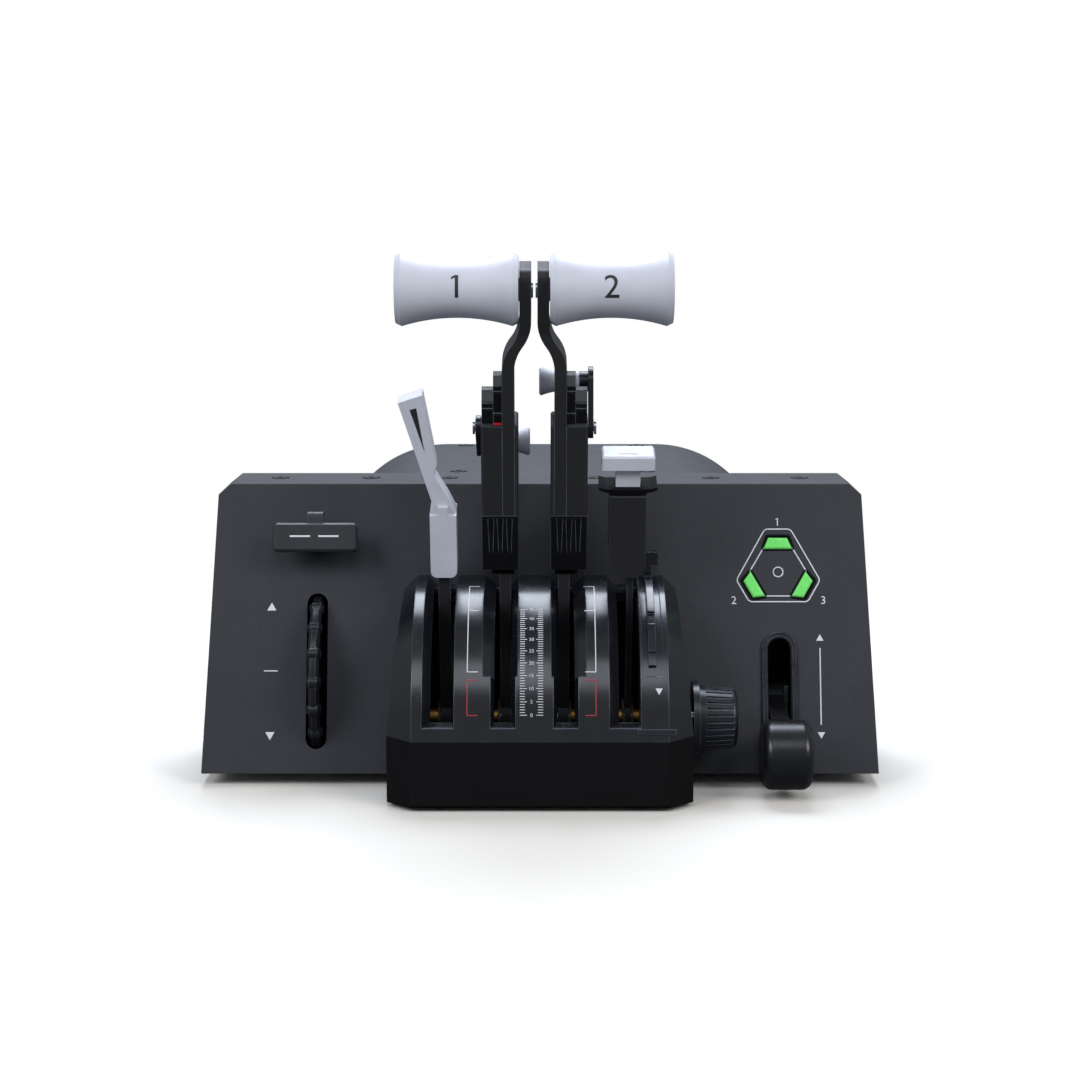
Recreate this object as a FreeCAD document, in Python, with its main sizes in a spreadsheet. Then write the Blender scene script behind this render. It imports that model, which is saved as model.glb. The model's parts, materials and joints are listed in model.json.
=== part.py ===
"""Desktop throttle quadrant: a sloping instrument cabinet with a four-lever module in front of it.

Millimetres, +Z up, +X to the pilot's right, +Y away from the pilot. The origin is the middle of the
footprint on the table top. Four frames carry the pieces: the world, the pivot of the four levers, the
levers themselves (tilted towards the pilot at rest) and the leaning front panel.
"""
import FreeCAD
import Part
import Sketcher
import math
import os
import re

document = FreeCAD.newDocument("ThrottleQuadrant")
sheet = document.addObject("Spreadsheet::Sheet", "Sizes")

# ------------------------------------------------------------------------------------------------
# Driving dimensions: one cell each, in millimetres or degrees
# ------------------------------------------------------------------------------------------------
SIZES = {
    # cabinet
    "panel_front": -78.0,        # lower front edge of the panel, back from the origin
    "panel_lift": 6.0,           # lower edge of the panel above the table
    "lean": 16.5,                # the panel leans back by this
    "panel_half_low": 152.5,     # half width at the lower edge
    "panel_half_high": 147.0,    # half width at the shoulder
    "panel_slant": 131.6,        # upper edge, measured up the slope
    "shoulder_wide": 5.5,        # bevel between the deck and each side
    "shoulder_drop": 4.6,
    "panel_thick": 2.5,
    "gauge": 2.0,                # wall of the folded cabinet and of the rear cover
    "cabinet_depth": 77.0,       # from the panel's lower edge to the rear wall
    "rear_middle": 6.0,          # the rear cover stands a little to the right
    "rear_half": 113.0,
    "rear_round": 58.0,          # radius of its shoulders
    "rear_end": 200.4,           # from the panel's lower edge to the rear face
    "plate_thick": 2.0,          # base plate
    "rear_flange": 10.0,
    "doorway_tall": 78.0,
    "fit": 0.3,
    "usb_wide": 9.0,
    "usb_tall": 3.2,
    "usb_round": 1.2,
    "usb_up": 8.0,
    "board_wide": 62.0,
    "board_deep": 46.0,
    "board_thick": 1.6,
    "pillar_radius": 2.5,
    "pillar_inset": 5.0,
    "chip_half": 7.0,
    "chip_tall": 1.5,
    "usb_wall": 0.4,
    "usb_deep": 10.0,
    # feet and fixings
    "foot_radius": 9.0,
    "foot_side_inset": 24.5,
    "foot_front": 64.0,
    "foot_rear_side": 70.0,
    "foot_inset": 18.0,
    "pad_side": 44.0,
    "pad_inset": 14.0,
    "pad_radius": 7.0,
    "deck_screw_back": 61.9,
    "cover_screw_near": 9.0,
    "cover_screw_far": 6.0,
    "screw_shank": 1.5,
    "screw_long": 8.0,
    "pad_thick": 2.0,            # rubber pads under the module
    "deck_screw_radius": 3.6,
    "recess_radius": 4.3,
    "recess_deep": 0.8,
    "insert_radius": 2.1,        # tapping size of the mounting nuts
    "nut_radius": 4.5,
    "nut_tall": 5.0,
    "mount_half": 90.0,          # half the spacing of the mounting nuts across
    "mount_front": 60.0,         # their rows, behind the panel's lower edge
    "mount_back": 180.0,
    # lever module
    "module_half": 66.8,
    "module_nose": 55.5,         # half width of its front face, between the corner facets
    "facet_deep": 10.8,          # depth of the corner facets
    "base_tall": 29.4,           # joint line between tray and shell, above the tray's underside
    "tray_wall": 2.6,
    "tray_floor": 3.0,
    "tray_half_rear": 58.0,      # half width where the tray passes through the panel
    "tray_end": 60.0,            # rear end of the tray, behind the panel's lower edge
    "pivot_back": 24.2,          # lever pivot, behind the panel's lower edge
    "pivot_up": 24.0,            # lever pivot above the tray's underside
    "arc": 66.2,                 # radius of the shell's back about the lever pivot
    "groove": 4.0,               # depth of the lever channels
    "skin": 2.4,                 # wall left under the channels
    "side_lean": 4.6,            # the module's flanks lean in by this
    "flank_up": 51.0,            # height of the flank above the pivot, where the top facet starts
    "top_facet": 10.5,           # width of the top facet
    "slot_low": 11.5,            # elevation where the slots start
    "slot_high": 83.0,           # elevation where they end
    "gate_low": 29.0,            # elevation where the wide throttle channels end
    "base_bevel": 1.2,
    "tray_step": 9.0,            # the tray's rear part is lower by this
    "hollow_half": 50.5,
    "brake_slot_left": -47.4,
    "brake_slot_right": -38.1,
    "brake_bevel": 3.6,
    "brake_lip": 0.9,
    "slot_in": 9.8,              # throttle slots, from the plane between the levers
    "slot_out": 17.4,
    "slot_bevel": 1.6,
    "gate_in": 2.6,
    "gate_out": 5.2,
    "flap_slot_left": 34.0,
    "flap_slot_right": 42.8,
    "flap_bevel": 4.1,
    "flap_lip": 0.6,
    "gate_panel_left": 44.2,
    "gate_panel_right": 53.0,
    "gate_sink": 0.5,
    "gate_left": 46.9,           # flap gate rail
    "gate_right": 50.3,
    "gate_proud": 2.6,
    "gate_post_tall": 12.0,
    "gate_post_back": 2.0,
    "gate_post_deep": 5.0,
    "sensor_gap": 0.8,
    "sensor_half": 8.0,
    "sensor_side": 1.5,
    # levers
    "tilt": 15.0,                # rest tilt of all four levers
    "shaft_radius": 4.0,
    "hub_radius": 9.0,
    "run": 0.05,                 # running clearance on every shaft
    "side_gap": 0.3,             # side clearance of the hubs
    "washer_thick": 0.8,
    "washer_radius": 8.5,
    "spacer_radius": 6.0,
    "bracket_at": 52.0,          # inner face of each shaft bracket from the middle
    "bracket_thick": 3.0,
    "bracket_foot": 5.0,         # their feet reach inwards by this
    "bracket_half": 15.0,
    "bracket_skirt": 4.0,
    "bracket_head": 8.0,
    "bracket_sole": 2.5,
    "shaft_proud": 0.3,
    "shaft_bevel": 0.5,
    "stem_half": 5.0,            # half depth of a lever's stem
    "throttle_middle": -2.4,     # plane between the two throttle levers
    "stem_in": 10.5,             # throttle stem, from that plane
    "stem_out": 15.5,
    "bar_in": 8.6,
    "bar_out": 13.9,
    "head_in": 1.3,
    "head_out": 6.3,
    "case_in": 7.0,              # throttle case, from that plane
    "case_out": 23.1,
    "case_half": 9.0,            # half depth of the case
    "boot_low": 78.0,            # distances along the lever from the pivot
    "case_low": 104.7,
    "case_top": 147.0,
    "neck_low": 171.0,
    "neck_top": 193.5,
    "head_top": 215.5,
    "head_half": 10.0,
    "head_corner": 4.5,
    "handle_up": 205.0,
    "handle_long": 51.8,
    "handle_gap": 0.4,
    "handle_rim": 15.5,
    "handle_waist": 12.0,
    "handle_bevel": 2.5,
    "screw_radius": 2.0,
    "reverser_up": 141.0,        # reverser pivot along the throttle lever
    "reverser_back": 5.0,        # and behind its middle plane
    "reverser_reach": 20.0,
    "reverser_plate": 2.2,
    "roller_rim": 6.2,
    "roller_waist": 4.4,
    "roller_flare": 32.0,
    "roller_edge": 0.8,
    "roller_in": 2.0,
    "raised": 61.0,              # elevation of a raised reverser
    "stowed": -40.0,             # elevation of a stowed one
    "reverser_pin": 2.0,
    "reverser_hub": 5.0,
    "reverser_end": 6.5,
    "roller_out": 19.4,
    "case_bevel": 0.8,
    "boot_tongue": 2.6,
    "flute_top": 1.3,
    "flute_foot": 0.5,
    "flute_deep": 1.4,
    "pawl_out": 17.7,
    "ledge": 0.4,                # ledges across the pawl blocks
    "ledge_tall": 0.9,
    "pawl_top": 168.0,
    "pawl_low_top": 161.0,
    # speed brake
    "brake_half": 7.0,
    "blade_tall": 49.5,
    "blade_out": 15.9,
    "brake_left": -45.2,
    "brake_right": -39.8,
    "brake_low": 74.0,
    "brake_top": 106.0,
    # flap lever
    "flap_left": 38.6,
    "flap_right": 41.4,
    "flap_low": 74.4,
    "flap_top": 113.3,
    "flap_middle": 38.4,
    "collar_thick": 3.7,
    "collar_lift": 6.0,
    "collar_sag": 2.4,
    "collar_dip": 0.8,
    "collar_tip": 3.0,
    "grip_low": 125.1,
    "grip_top": 131.6,
    "case_wide": 16.1,
    "flap_half": 8.0,
    "neck_wide": 10.7,
    "grip_wide": 23.1,
    "grip_half": 7.0,
    "collar_wide": 25.5,
    # trim wheel
    "trim_hub_half": 6.0,
    "trim_ear": 6.6,
    "trim_ear_head": 6.0,
    "trim_ear_foot": 8.0,
    "trim_hub": 7.0,
    "trim_web": 1.5,
    "trim_flare": 9.0,
    "trim_beads": 18,
    "trim_inset": 51.5,          # its slot, in from the panel's lower corner
    "trim_up": 46.2,             # middle of its slot up the slope
    "trim_slot": 70.7,
    "trim_slot_wide": 9.4,
    "trim_behind": 20.0,
    "trim_bead_ring": 36.3,
    "trim_bead": 3.2,
    "trim_cord": 2.3,
    "trim_axle_radius": 2.5,
    # parking brake
    "trim_gap": 6.0,
    "trim_well": 20.0,
    "park_inset": 51.3,
    "park_rod_up": 102.6,
    "park_rod_radius": 3.0,
    "guide_radius": 4.5,
    "park_up": 105.3,
    "park_wide": 38.0,
    "park_tall": 13.0,
    "park_thick": 4.0,
    "park_out": 12.0,            # back of the plate ahead of the panel
    "park_travel": 8.0,
    "park_inside": 20.0,
    "park_neck": 5.5,            # the neck stands above the plate by this
    "park_bevel": 1.0,
    "park_round": 2.0,
    "neck_half": 3.5,
    "neck_thick": 3.0,
    "neck_lip": 1.0,
    "neck_reach": 4.0,
    "stop_wide": 2.0,            # collars that hold the rod and its guide
    "stop_thick": 1.5,
    # landing gear
    "gear_inset": 44.1,
    "gear_slot_low": 9.0,
    "gear_slot_top": 61.0,
    "gear_slot_wide": 10.5,
    "bezel_rim": 3.1,
    "bezel_proud": 1.3,
    "bezel_valley": 1.2,
    "bezel_valley_wide": 0.7,
    "gear_up": 36.0,             # gear pivot up the slope
    "gear_behind": 30.0,
    "gear_reach": 60.2,
    "gear_arm_half": 4.0,
    "gear_arm_root": 4.2,
    "gear_arm_waist": 4.0,
    "gear_arm_end": 4.6,
    "gear_ear": 7.0,
    "ear_thick": 2.0,
    "gear_hub_radius": 7.0,
    "gear_pin_radius": 2.5,
    "gear_tyre": 6.0,
    "gear_knob_round": 4.5,
    "gear_rest": -28.0,          # rest angle of the arm from the panel's normal
    "gear_knob_radius": 15.5,
    "gear_knob_wide": 22.0,
    "lamp_up": 91.3,             # centre of the lamp triangle up the slope
    "lamp_ring": 13.2,           # distance of each lamp from it
    "lamp_outer": 4.3,           # half length of a lamp's outer side
    "lamp_inner": 6.5,
    "lamp_tall": 5.0,
    "lamp_proud": 0.4,
    "lamp_gap": 0.8,             # dark gap round each lens
    "lamp_bevel": 0.6,
    "lamp_board_half": 20.0,
    "lamp_board_low": 16.0,
    "lamp_board_round": 2.0,
    "driver_half": 5.0,          # driver chip on its back
    "driver_tall": 3.4,
    # selector knob
    "knob_back": -14.0,          # knob axis, from the panel's lower edge
    "knob_up": 33.0,             # and above the tray's underside
    "knob_long": 19.5,
    "knob_flange": 16.5,
    "knob_ribs": 30,
    "knob_root": 14.5,
    "knob_nose": 13.4,
    "knob_edge": 2.5,
    "knob_skirt": 2.8,
    "encoder_half": 6.0,
    "encoder_deep": 7.0,
    "knob_flute": 0.5,           # half width of a flute
    "knob_shaft_radius": 3.0,
}
# Sizes that follow from the driving ones
DERIVED = {
    "shoulder_up": "=panel_slant - shoulder_drop",
    "deck_half": "=panel_half_high - shoulder_wide",
    "foot_side": "=panel_half_low - foot_side_inset",
    "trim_middle": "=trim_inset - panel_half_low",
    "park_middle": "=park_inset - panel_half_low",
    "gear_middle": "=panel_half_low - gear_inset",
    "knob_start": "=module_half + side_gap",
    "knob_end": "=knob_start + knob_long",
    "pivot_y": "=panel_front + pivot_back",
    "pivot_z": "=pad_thick + pivot_up",
    "joint_z": "=pad_thick + base_tall",
    "shell_low": "=base_tall - pivot_up",
    "tray_front": "=pivot_y - (arc - shell_low * sin(lean)) / cos(lean)",
    "tray_back": "=panel_front + tray_end",
    "floor_z": "=pad_thick + tray_floor",
    "deck_z": "=panel_lift + panel_slant * cos(lean)",
    "shoulder_z": "=panel_lift + shoulder_up * cos(lean)",
    "rear_wall_y": "=panel_front + cabinet_depth",
    "rear_y": "=panel_front + rear_end",
    "arc_in": "=arc - groove - skin",
    "plate_top": "=panel_lift + plate_thick",
    "gear_y": "=panel_front + gear_behind * cos(lean) + gear_up * sin(lean)",
    "gear_z": "=panel_lift - gear_behind * sin(lean) + gear_up * cos(lean)",
    "knob_y": "=panel_front + knob_back",
    "knob_z": "=pad_thick + knob_up",
    "usb_z": "=plate_top + usb_up",
    "trim_y": "=panel_front + trim_behind * cos(lean) + trim_up * sin(lean)",
}


def fill_sheet():
    for row, (name, number) in enumerate(list(SIZES.items()) + list(DERIVED.items()), start=1):
        sheet.set("A%d" % row, name)
        sheet.set("B%d" % row, str(number))
        sheet.setAlias("B%d" % row, name)
    document.recompute()


# ------------------------------------------------------------------------------------------------
# Sketching and building by formulas on the sheet
# ------------------------------------------------------------------------------------------------
FUNCTIONS = "sin|cos|tan|sqrt|atan|acos|asin|abs"
pieces = []


def formula(text):
    """The words of a size formula, each with the sheet's name before it."""
    return re.sub(r"\b(?!(?:%s)\b)([a-z][a-z_0-9]*)\b" % FUNCTIONS, r"Sizes.\1", str(text))


def value(text):
    """The number that a size formula gives."""
    return float(sheet.evalExpression(formula(text)))


def bind(thing, **formulas):
    """Ties properties, such as Placement__Base__x, to size formulas."""
    for name, text in formulas.items():
        thing.setExpression(name.replace("__", "."), formula(text))


FRAMES = {
    "world": None,
    "pivot": ("pivot_y", "pivot_z", "0"),
    "lever": ("pivot_y", "pivot_z", "tilt"),
    "panel": ("panel_front", "panel_lift", "-lean"),
    "gear": ("gear_y", "gear_z", "90 - gear_rest - lean"),
}


def place(thing, frame):
    """Puts a body into one of the four frames."""
    if FRAMES[frame] is None:
        return
    back, up, turn = FRAMES[frame]
    thing.Placement = FreeCAD.Placement(FreeCAD.Vector(), FreeCAD.Rotation(FreeCAD.Vector(1, 0, 0), 1))
    bind(thing, Placement__Base__y=back, Placement__Base__z=up, Placement__Rotation__Angle=turn)


def body(name, frame="world"):
    """A new sub-part in one of the frames; it may hold several equal solids."""
    new = document.addObject("PartDesign::Body", name)
    new.Label = name
    new.AllowCompound = True
    place(new, frame)
    pieces.append(new)
    return new


def sketch_on(piece, plane, wires, away="0", shift="0", spin="0"):
    """A sketch on an origin plane of the body.

    away moves it along the plane's axis, shift moves its own origin up, spin turns it about its X.
    A wire is a list of corners (across, up) or ("circle", across, up, radius). A third item in a
    corner bends the side that follows: a radius (negative bends it inwards) or "round" for a half
    circle."""
    drawing = piece.newObject("Sketcher::SketchObject", piece.Label + "_sketch")
    role = {"x": "YZ_Plane", "y": "XZ_Plane", "z": "XY_Plane"}[plane]
    drawing.AttachmentSupport = ([f for f in piece.Origin.OriginFeatures if f.Role == role][0], "")
    drawing.MapMode = "FlatFace"
    turned = FreeCAD.Rotation(FreeCAD.Vector(1, 0, 0), 1 if spin != "0" else 0)
    drawing.AttachmentOffset = FreeCAD.Placement(FreeCAD.Vector(), turned)
    bind(drawing, AttachmentOffset__Base__z="-(%s)" % away if plane == "y" else away)
    if shift != "0":
        bind(drawing, AttachmentOffset__Base__y=shift)
    if spin != "0":
        bind(drawing, AttachmentOffset__Rotation__Angle=spin)
    for wire in wires:
        if wire[0] == "circle":
            draw_circle(drawing, *wire[1:])
        else:
            draw_outline(drawing, wire)
    return drawing


def tie(drawing, constraints):
    """Adds dimension constraints, each bound to its formula."""
    numbers = drawing.addConstraint([Sketcher.Constraint(*made) for made, text in constraints])
    for number, (made, text) in zip(numbers, constraints):
        drawing.setExpression("Constraints[%d]" % number, formula(text))


def draw_circle(drawing, across, up, radius):
    centre = FreeCAD.Vector(value(across), value(up), 0)
    circle = Part.Circle(centre, FreeCAD.Vector(0, 0, 1), value(radius))
    index = drawing.addGeometry(circle, False)
    tie(drawing, [(("DistanceX", -1, 1, index, 3, centre.x), across),
                  (("DistanceY", -1, 1, index, 3, centre.y), up),
                  (("Radius", index, value(radius)), radius)])


def draw_outline(drawing, corners):
    """A closed loop of straight and bent sides through the corners."""
    points = [FreeCAD.Vector(value(corner[0]), value(corner[1]), 0) for corner in corners]
    first = len(drawing.Geometry)
    sides = []
    for here, corner in enumerate(corners):
        start, end = points[here], points[(here + 1) % len(points)]
        if len(corner) == 2:
            sides.append(Part.LineSegment(start, end))
            continue
        half = (end - start).Length / 2
        bend = half if corner[2] == "round" else value(corner[2])
        rise = abs(bend) - math.sqrt(max(bend * bend - half * half, 0))
        along = (end - start).normalize()
        outward = FreeCAD.Vector(along.y, -along.x, 0) * math.copysign(rise, bend)
        crown = (start + end) * 0.5 + outward
        # sketch arcs run counter-clockwise, so one that bends inwards is drawn from its far end
        sides.append(Part.Arc(start, crown, end) if rise * bend > 0 or corner[2] == "round"
                     else Part.Arc(end, crown, start))
    drawing.addGeometry(sides, False)

    def end_at(side, point):
        made = drawing.Geometry[first + side]
        return 1 if (made.StartPoint - point).Length < (made.EndPoint - point).Length else 2

    count = len(points)
    joints = [Sketcher.Constraint("Coincident", first + side, end_at(side, points[(side + 1) % count]),
                                  first + (side + 1) % count,
                                  end_at((side + 1) % count, points[(side + 1) % count]))
              for side in range(count)]
    drawing.addConstraint(joints)
    ties = []
    for side, corner in enumerate(corners):
        here, end = points[side], end_at(side, points[side])
        ties.append((("DistanceX", -1, 1, first + side, end, here.x), corner[0]))
        ties.append((("DistanceY", -1, 1, first + side, end, here.y), corner[1]))
        if len(corner) == 3 and corner[2] != "round":
            ties.append((("Radius", first + side, abs(value(corner[2]))), "abs(%s)" % corner[2]))
        elif len(corner) == 3:
            after = points[(side + 1) % count]
            level = abs(after.y - here.y) < abs(after.x - here.x)
            kind = "DistanceY" if level else "DistanceX"
            ties.append(((kind, -1, 1, first + side, 3, here.y if level else here.x),
                         corner[1] if level else corner[0]))
    tie(drawing, ties)


def extrude(piece, plane, wires, start, end, cut=False, spin="0"):
    """Pads or pockets a list of wires from start to end along the plane's own axis."""
    drawing = sketch_on(piece, plane, wires, "((%s) + (%s)) / 2" % (start, end), "0", spin)
    kind = "PartDesign::Pocket" if cut else "PartDesign::Pad"
    feature = piece.newObject(kind, piece.Label + ("_cut" if cut else "_pad"))
    feature.Profile = drawing
    feature.SideType = "Symmetric"
    bind(feature, Length="(%s) - (%s)" % (end, start))
    return feature


def lathe(piece, wire, shift="0", back="0", cut=False, spin="0", sweep="360"):
    """Turns a wire of (along X, radius) about an axis parallel to X."""
    drawing = sketch_on(piece, "y", [wire], back, shift, spin)
    kind = "PartDesign::Groove" if cut else "PartDesign::Revolution"
    feature = piece.newObject(kind, piece.Label + ("_turned_cut" if cut else "_turned"))
    feature.Profile = drawing
    feature.ReferenceAxis = (drawing, ["H_Axis"])
    bind(feature, Angle=sweep)
    return feature


def box_wire(left, low, right, high):
    return [(left, low), (right, low), (right, high), (left, high)]


def round_box(left, low, right, high, radius):
    """A rectangle with rounded corners, counter-clockwise."""
    radius = "(%s)" % radius
    return [("%s + %s" % (left, radius), low), ("%s - %s" % (right, radius), low, radius),
            (right, "%s + %s" % (low, radius)), (right, "%s - %s" % (high, radius), radius),
            ("%s - %s" % (right, radius), high), ("%s + %s" % (left, radius), high, radius),
            (left, "%s - %s" % (high, radius)), (left, "%s + %s" % (low, radius), radius)]


def slot_wire(middle, low, top, wide):
    """An upright slot with half-round ends."""
    left, right = "%s - (%s) / 2" % (middle, wide), "%s + (%s) / 2" % (middle, wide)
    return [(left, "%s + (%s) / 2" % (low, wide), "round"), (right, "%s + (%s) / 2" % (low, wide)),
            (right, "%s - (%s) / 2" % (top, wide), "round"), (left, "%s - (%s) / 2" % (top, wide))]


def mirrored(corners):
    """The same corners on the other side of the middle, in the same turning sense."""
    return [("-(%s)" % across, up) for across, up in reversed(corners)]


def bevel(piece, size, chosen, kind="PartDesign::Chamfer"):
    """Chamfers (or fillets) the edges of the body's last feature that the test picks."""
    document.recompute()
    base = piece.Tip
    names = ["Edge%d" % (place + 1) for place, edge in enumerate(base.Shape.Edges) if chosen(edge)]
    feature = piece.newObject(kind, piece.Label + "_edges")
    feature.Base = (base, names)
    bind(feature, **{"Size" if kind.endswith("Chamfer") else "Radius": size})
    return feature


def runs(edge, axis):
    """True for a straight edge along an axis (0, 1 or 2)."""
    across = [length for place, length in enumerate(spread(edge)) if place != axis]
    return max(across) < 0.01 < spread(edge)[axis]


def at_front(edge, proud):
    """True for an edge in the plane that stands this much ahead of the frame's XZ plane."""
    return abs(edge.BoundBox.YMin + value(proud)) < 0.01 and edge.BoundBox.YLength < 0.01


def spread(edge):
    box = edge.BoundBox
    return box.XLength, box.YLength, box.ZLength


def ring(piece, left, right, outer, inner):
    """A plain ring about the frame's X axis, from left to right."""
    return lathe(piece, box_wire(left, inner, right, outer))


def behind_panel(height, depth="0"):
    """Y of the panel's front face, or of a plane depth behind it, at a height above the table."""
    return "panel_front + (%s) / cos(lean) + (%s - panel_lift) * tan(lean)" % (depth, height)


# ------------------------------------------------------------------------------------------------
# Cabinet
# ------------------------------------------------------------------------------------------------
DECK_SCREWS = (-121.6, -79.0, -42.6, 24.8, 80.0, 121.6)
COVER_SCREWS = (-45.0, 45.0)


def screw_places():
    """(across, back) of every countersunk screw on the deck and on the rear cover."""
    deck = [(str(across), "panel_front + deck_screw_back") for across in DECK_SCREWS]
    cover = [("rear_middle + %s" % across, "rear_wall_y + cover_screw_near") for across in COVER_SCREWS]
    cover += [("rear_middle + %s" % across, "rear_y - cover_screw_far") for across in COVER_SCREWS]
    return deck, cover


def sink_screws(piece, places):
    """Recesses and through holes for the screws in a top wall."""
    extrude(piece, "z", [("circle", across, back, "recess_radius") for across, back in places],
            "deck_z - recess_deep", "deck_z + 1", cut=True)
    extrude(piece, "z", [("circle", across, back, "screw_shank + run") for across, back in places],
            "deck_z - gauge - 1", "deck_z", cut=True)


def cabinet_shell():
    """Folded sheet: deck, bevelled shoulders and both sides in one piece, open below."""
    shell = body("cabinet_shell")
    outside = [("panel_half_low", "panel_lift"), ("panel_half_high", "shoulder_z"),
               ("deck_half", "deck_z")]
    inside = [("deck_half - gauge * 0.4", "deck_z - gauge"),
              ("panel_half_high - gauge", "shoulder_z - gauge * 0.6"),
              ("panel_half_low - gauge", "panel_lift")]
    wire = outside + mirrored(outside) + mirrored(inside) + inside
    extrude(shell, "y", [wire], "panel_front", "rear_wall_y")
    wedge = [("panel_front - 1", "panel_lift - 1"),
             (behind_panel("panel_lift - 1", "panel_thick"), "panel_lift - 1"),
             (behind_panel("deck_z + 1", "panel_thick"), "deck_z + 1"),
             ("panel_front - 1", "deck_z + 1")]
    extrude(shell, "x", [wedge], "-panel_half_low - 1", "panel_half_low + 1", cut=True)
    sink_screws(shell, screw_places()[0])


def arch(left, low, right, round_off, top):
    """A doorway outline: straight below, with two quarter-round shoulders."""
    return [(left, low), (right, low), (right, "%s - (%s)" % (top, round_off), round_off),
            ("%s - (%s)" % (right, round_off), top), ("%s + (%s)" % (left, round_off), top, round_off),
            (left, "%s - (%s)" % (top, round_off))]


def rear_wall():
    """Flat sheet that closes the cabinet behind, with the doorway into the rear cover."""
    wall = body("rear_wall")
    half = [("panel_half_low", "plate_top"), ("panel_half_high", "shoulder_z"),
            ("deck_half", "deck_z")]
    doorway = arch("rear_middle - rear_half + rear_flange", "plate_top + rear_flange",
                   "rear_middle + rear_half - rear_flange", "rear_round - rear_flange",
                   "deck_z - rear_flange")
    extrude(wall, "y", [half + mirrored(half), doorway], "rear_wall_y", "rear_wall_y + gauge")


def rear_cover():
    """Round-shouldered cover behind the cabinet, its top level with the deck."""
    cover = body("rear_cover")
    extrude(cover, "y", [arch("rear_middle - rear_half", "panel_lift", "rear_middle + rear_half",
                              "rear_round", "deck_z")], "rear_wall_y + gauge", "rear_y")
    extrude(cover, "y", [arch("rear_middle - rear_half + gauge", "panel_lift - 1",
                              "rear_middle + rear_half - gauge", "rear_round - gauge",
                              "deck_z - gauge")], "rear_wall_y", "rear_y - gauge", cut=True)
    socket = round_box("rear_middle - usb_wide / 2 - run", "usb_z - run",
                       "rear_middle + usb_wide / 2 + run", "usb_z + usb_tall + run", "usb_round")
    extrude(cover, "y", [socket], "rear_y - gauge - 1", "rear_y + 1", cut=True)
    sink_screws(cover, screw_places()[1])


def deck_screws():
    """Pan-head screws of the deck and the rear cover."""
    screws = body("deck_screws")
    deck, cover = screw_places()
    for radius, low, high in (("deck_screw_radius", "deck_z - recess_deep", "deck_z + 0.3"),
                              ("screw_shank", "deck_z - screw_long", "deck_z - recess_deep")):
        extrude(screws, "z", [("circle", across, back, radius) for across, back in deck + cover],
                low, high)


def front_panel():
    """Leaning plate with the trim slot, gear slot, lamp windows and the doorway for the module."""
    panel = body("front_panel", "panel")
    half = [("panel_half_low", "0"), ("panel_half_high", "shoulder_up"), ("deck_half", "panel_slant")]
    extrude(panel, "y", [half + mirrored(half)], "0", "panel_thick")
    doorway = box_wire("-tray_half_rear - fit", "-1", "tray_half_rear + fit", "doorway_tall")
    holes = [doorway,
             slot_wire("trim_middle", "trim_up - trim_slot / 2", "trim_up + trim_slot / 2",
                       "trim_slot_wide"),
             slot_wire("gear_middle", "gear_slot_low", "gear_slot_top", "gear_slot_wide"),
             ("circle", "park_middle", "park_rod_up", "guide_radius + run")]
    holes += [lamp_wire(turn, "lamp_gap") for turn in LAMP_TURNS]
    extrude(panel, "y", holes, "-1", "panel_thick + 1", cut=True)


def base_plate():
    """Bottom sheet, cut back round the module's tray and under the trim wheel."""
    plate = body("base_plate")
    front = behind_panel("plate_top", "panel_thick")
    outline = [("tray_half_rear + fit", "tray_back + fit"), ("-tray_half_rear - fit", "tray_back + fit")]
    half = [("tray_half_rear + fit", front + " + fit"),
            ("panel_half_low - gauge - fit", front + " + fit"),
            ("panel_half_low - gauge - fit", "rear_wall_y + gauge")]
    rear = [("rear_middle + rear_half - gauge - fit", "rear_wall_y + gauge"),
            ("rear_middle + rear_half - gauge - fit", "rear_y - gauge - fit"),
            ("rear_middle - rear_half + gauge + fit", "rear_y - gauge - fit"),
            ("rear_middle - rear_half + gauge + fit", "rear_wall_y + gauge")]
    extrude(plate, "z", [half + rear + mirrored(half) + outline[::-1]], "panel_lift", "plate_top")
    extrude(plate, "z", [box_wire("trim_middle - trim_gap", "trim_y - trim_well",
                                  "trim_middle + trim_gap", "trim_y + trim_well")],
            "panel_lift - 1", "plate_top + 1", cut=True)
    extrude(plate, "z", [("circle", across, back, "insert_radius") for across, back in mount_places()],
            "panel_lift - 1", "plate_top + 1", cut=True)


def mount_places():
    return [(side + "mount_half", "panel_front + " + row) for side in ("-", "")
            for row in ("mount_front", "mount_back")]


def mounting_nuts():
    """Round nuts riveted on the base plate, tapped from below."""
    nuts = body("mounting_nuts")
    wires = []
    for across, back in mount_places():
        wires += [("circle", across, back, "nut_radius"), ("circle", across, back, "insert_radius")]
    extrude(nuts, "z", wires, "plate_top", "plate_top + nut_tall")


def rubber_feet():
    """Four tall feet under the cabinet and four thin pads under the module."""
    feet = body("rubber_feet")
    tall = [("-foot_side", "panel_front + foot_front"), ("foot_side", "panel_front + foot_front"),
            ("rear_middle - foot_rear_side", "rear_y - foot_inset"),
            ("rear_middle + foot_rear_side", "rear_y - foot_inset")]
    extrude(feet, "z", [("circle", across, back, "foot_radius") for across, back in tall],
            "0", "panel_lift")
    thin = [(side + "pad_side", back) for side in ("-", "")
            for back in ("tray_front + pad_inset", "tray_back - pad_inset")]
    extrude(feet, "z", [("circle", across, back, "pad_radius") for across, back in thin],
            "0", "pad_thick")


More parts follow.
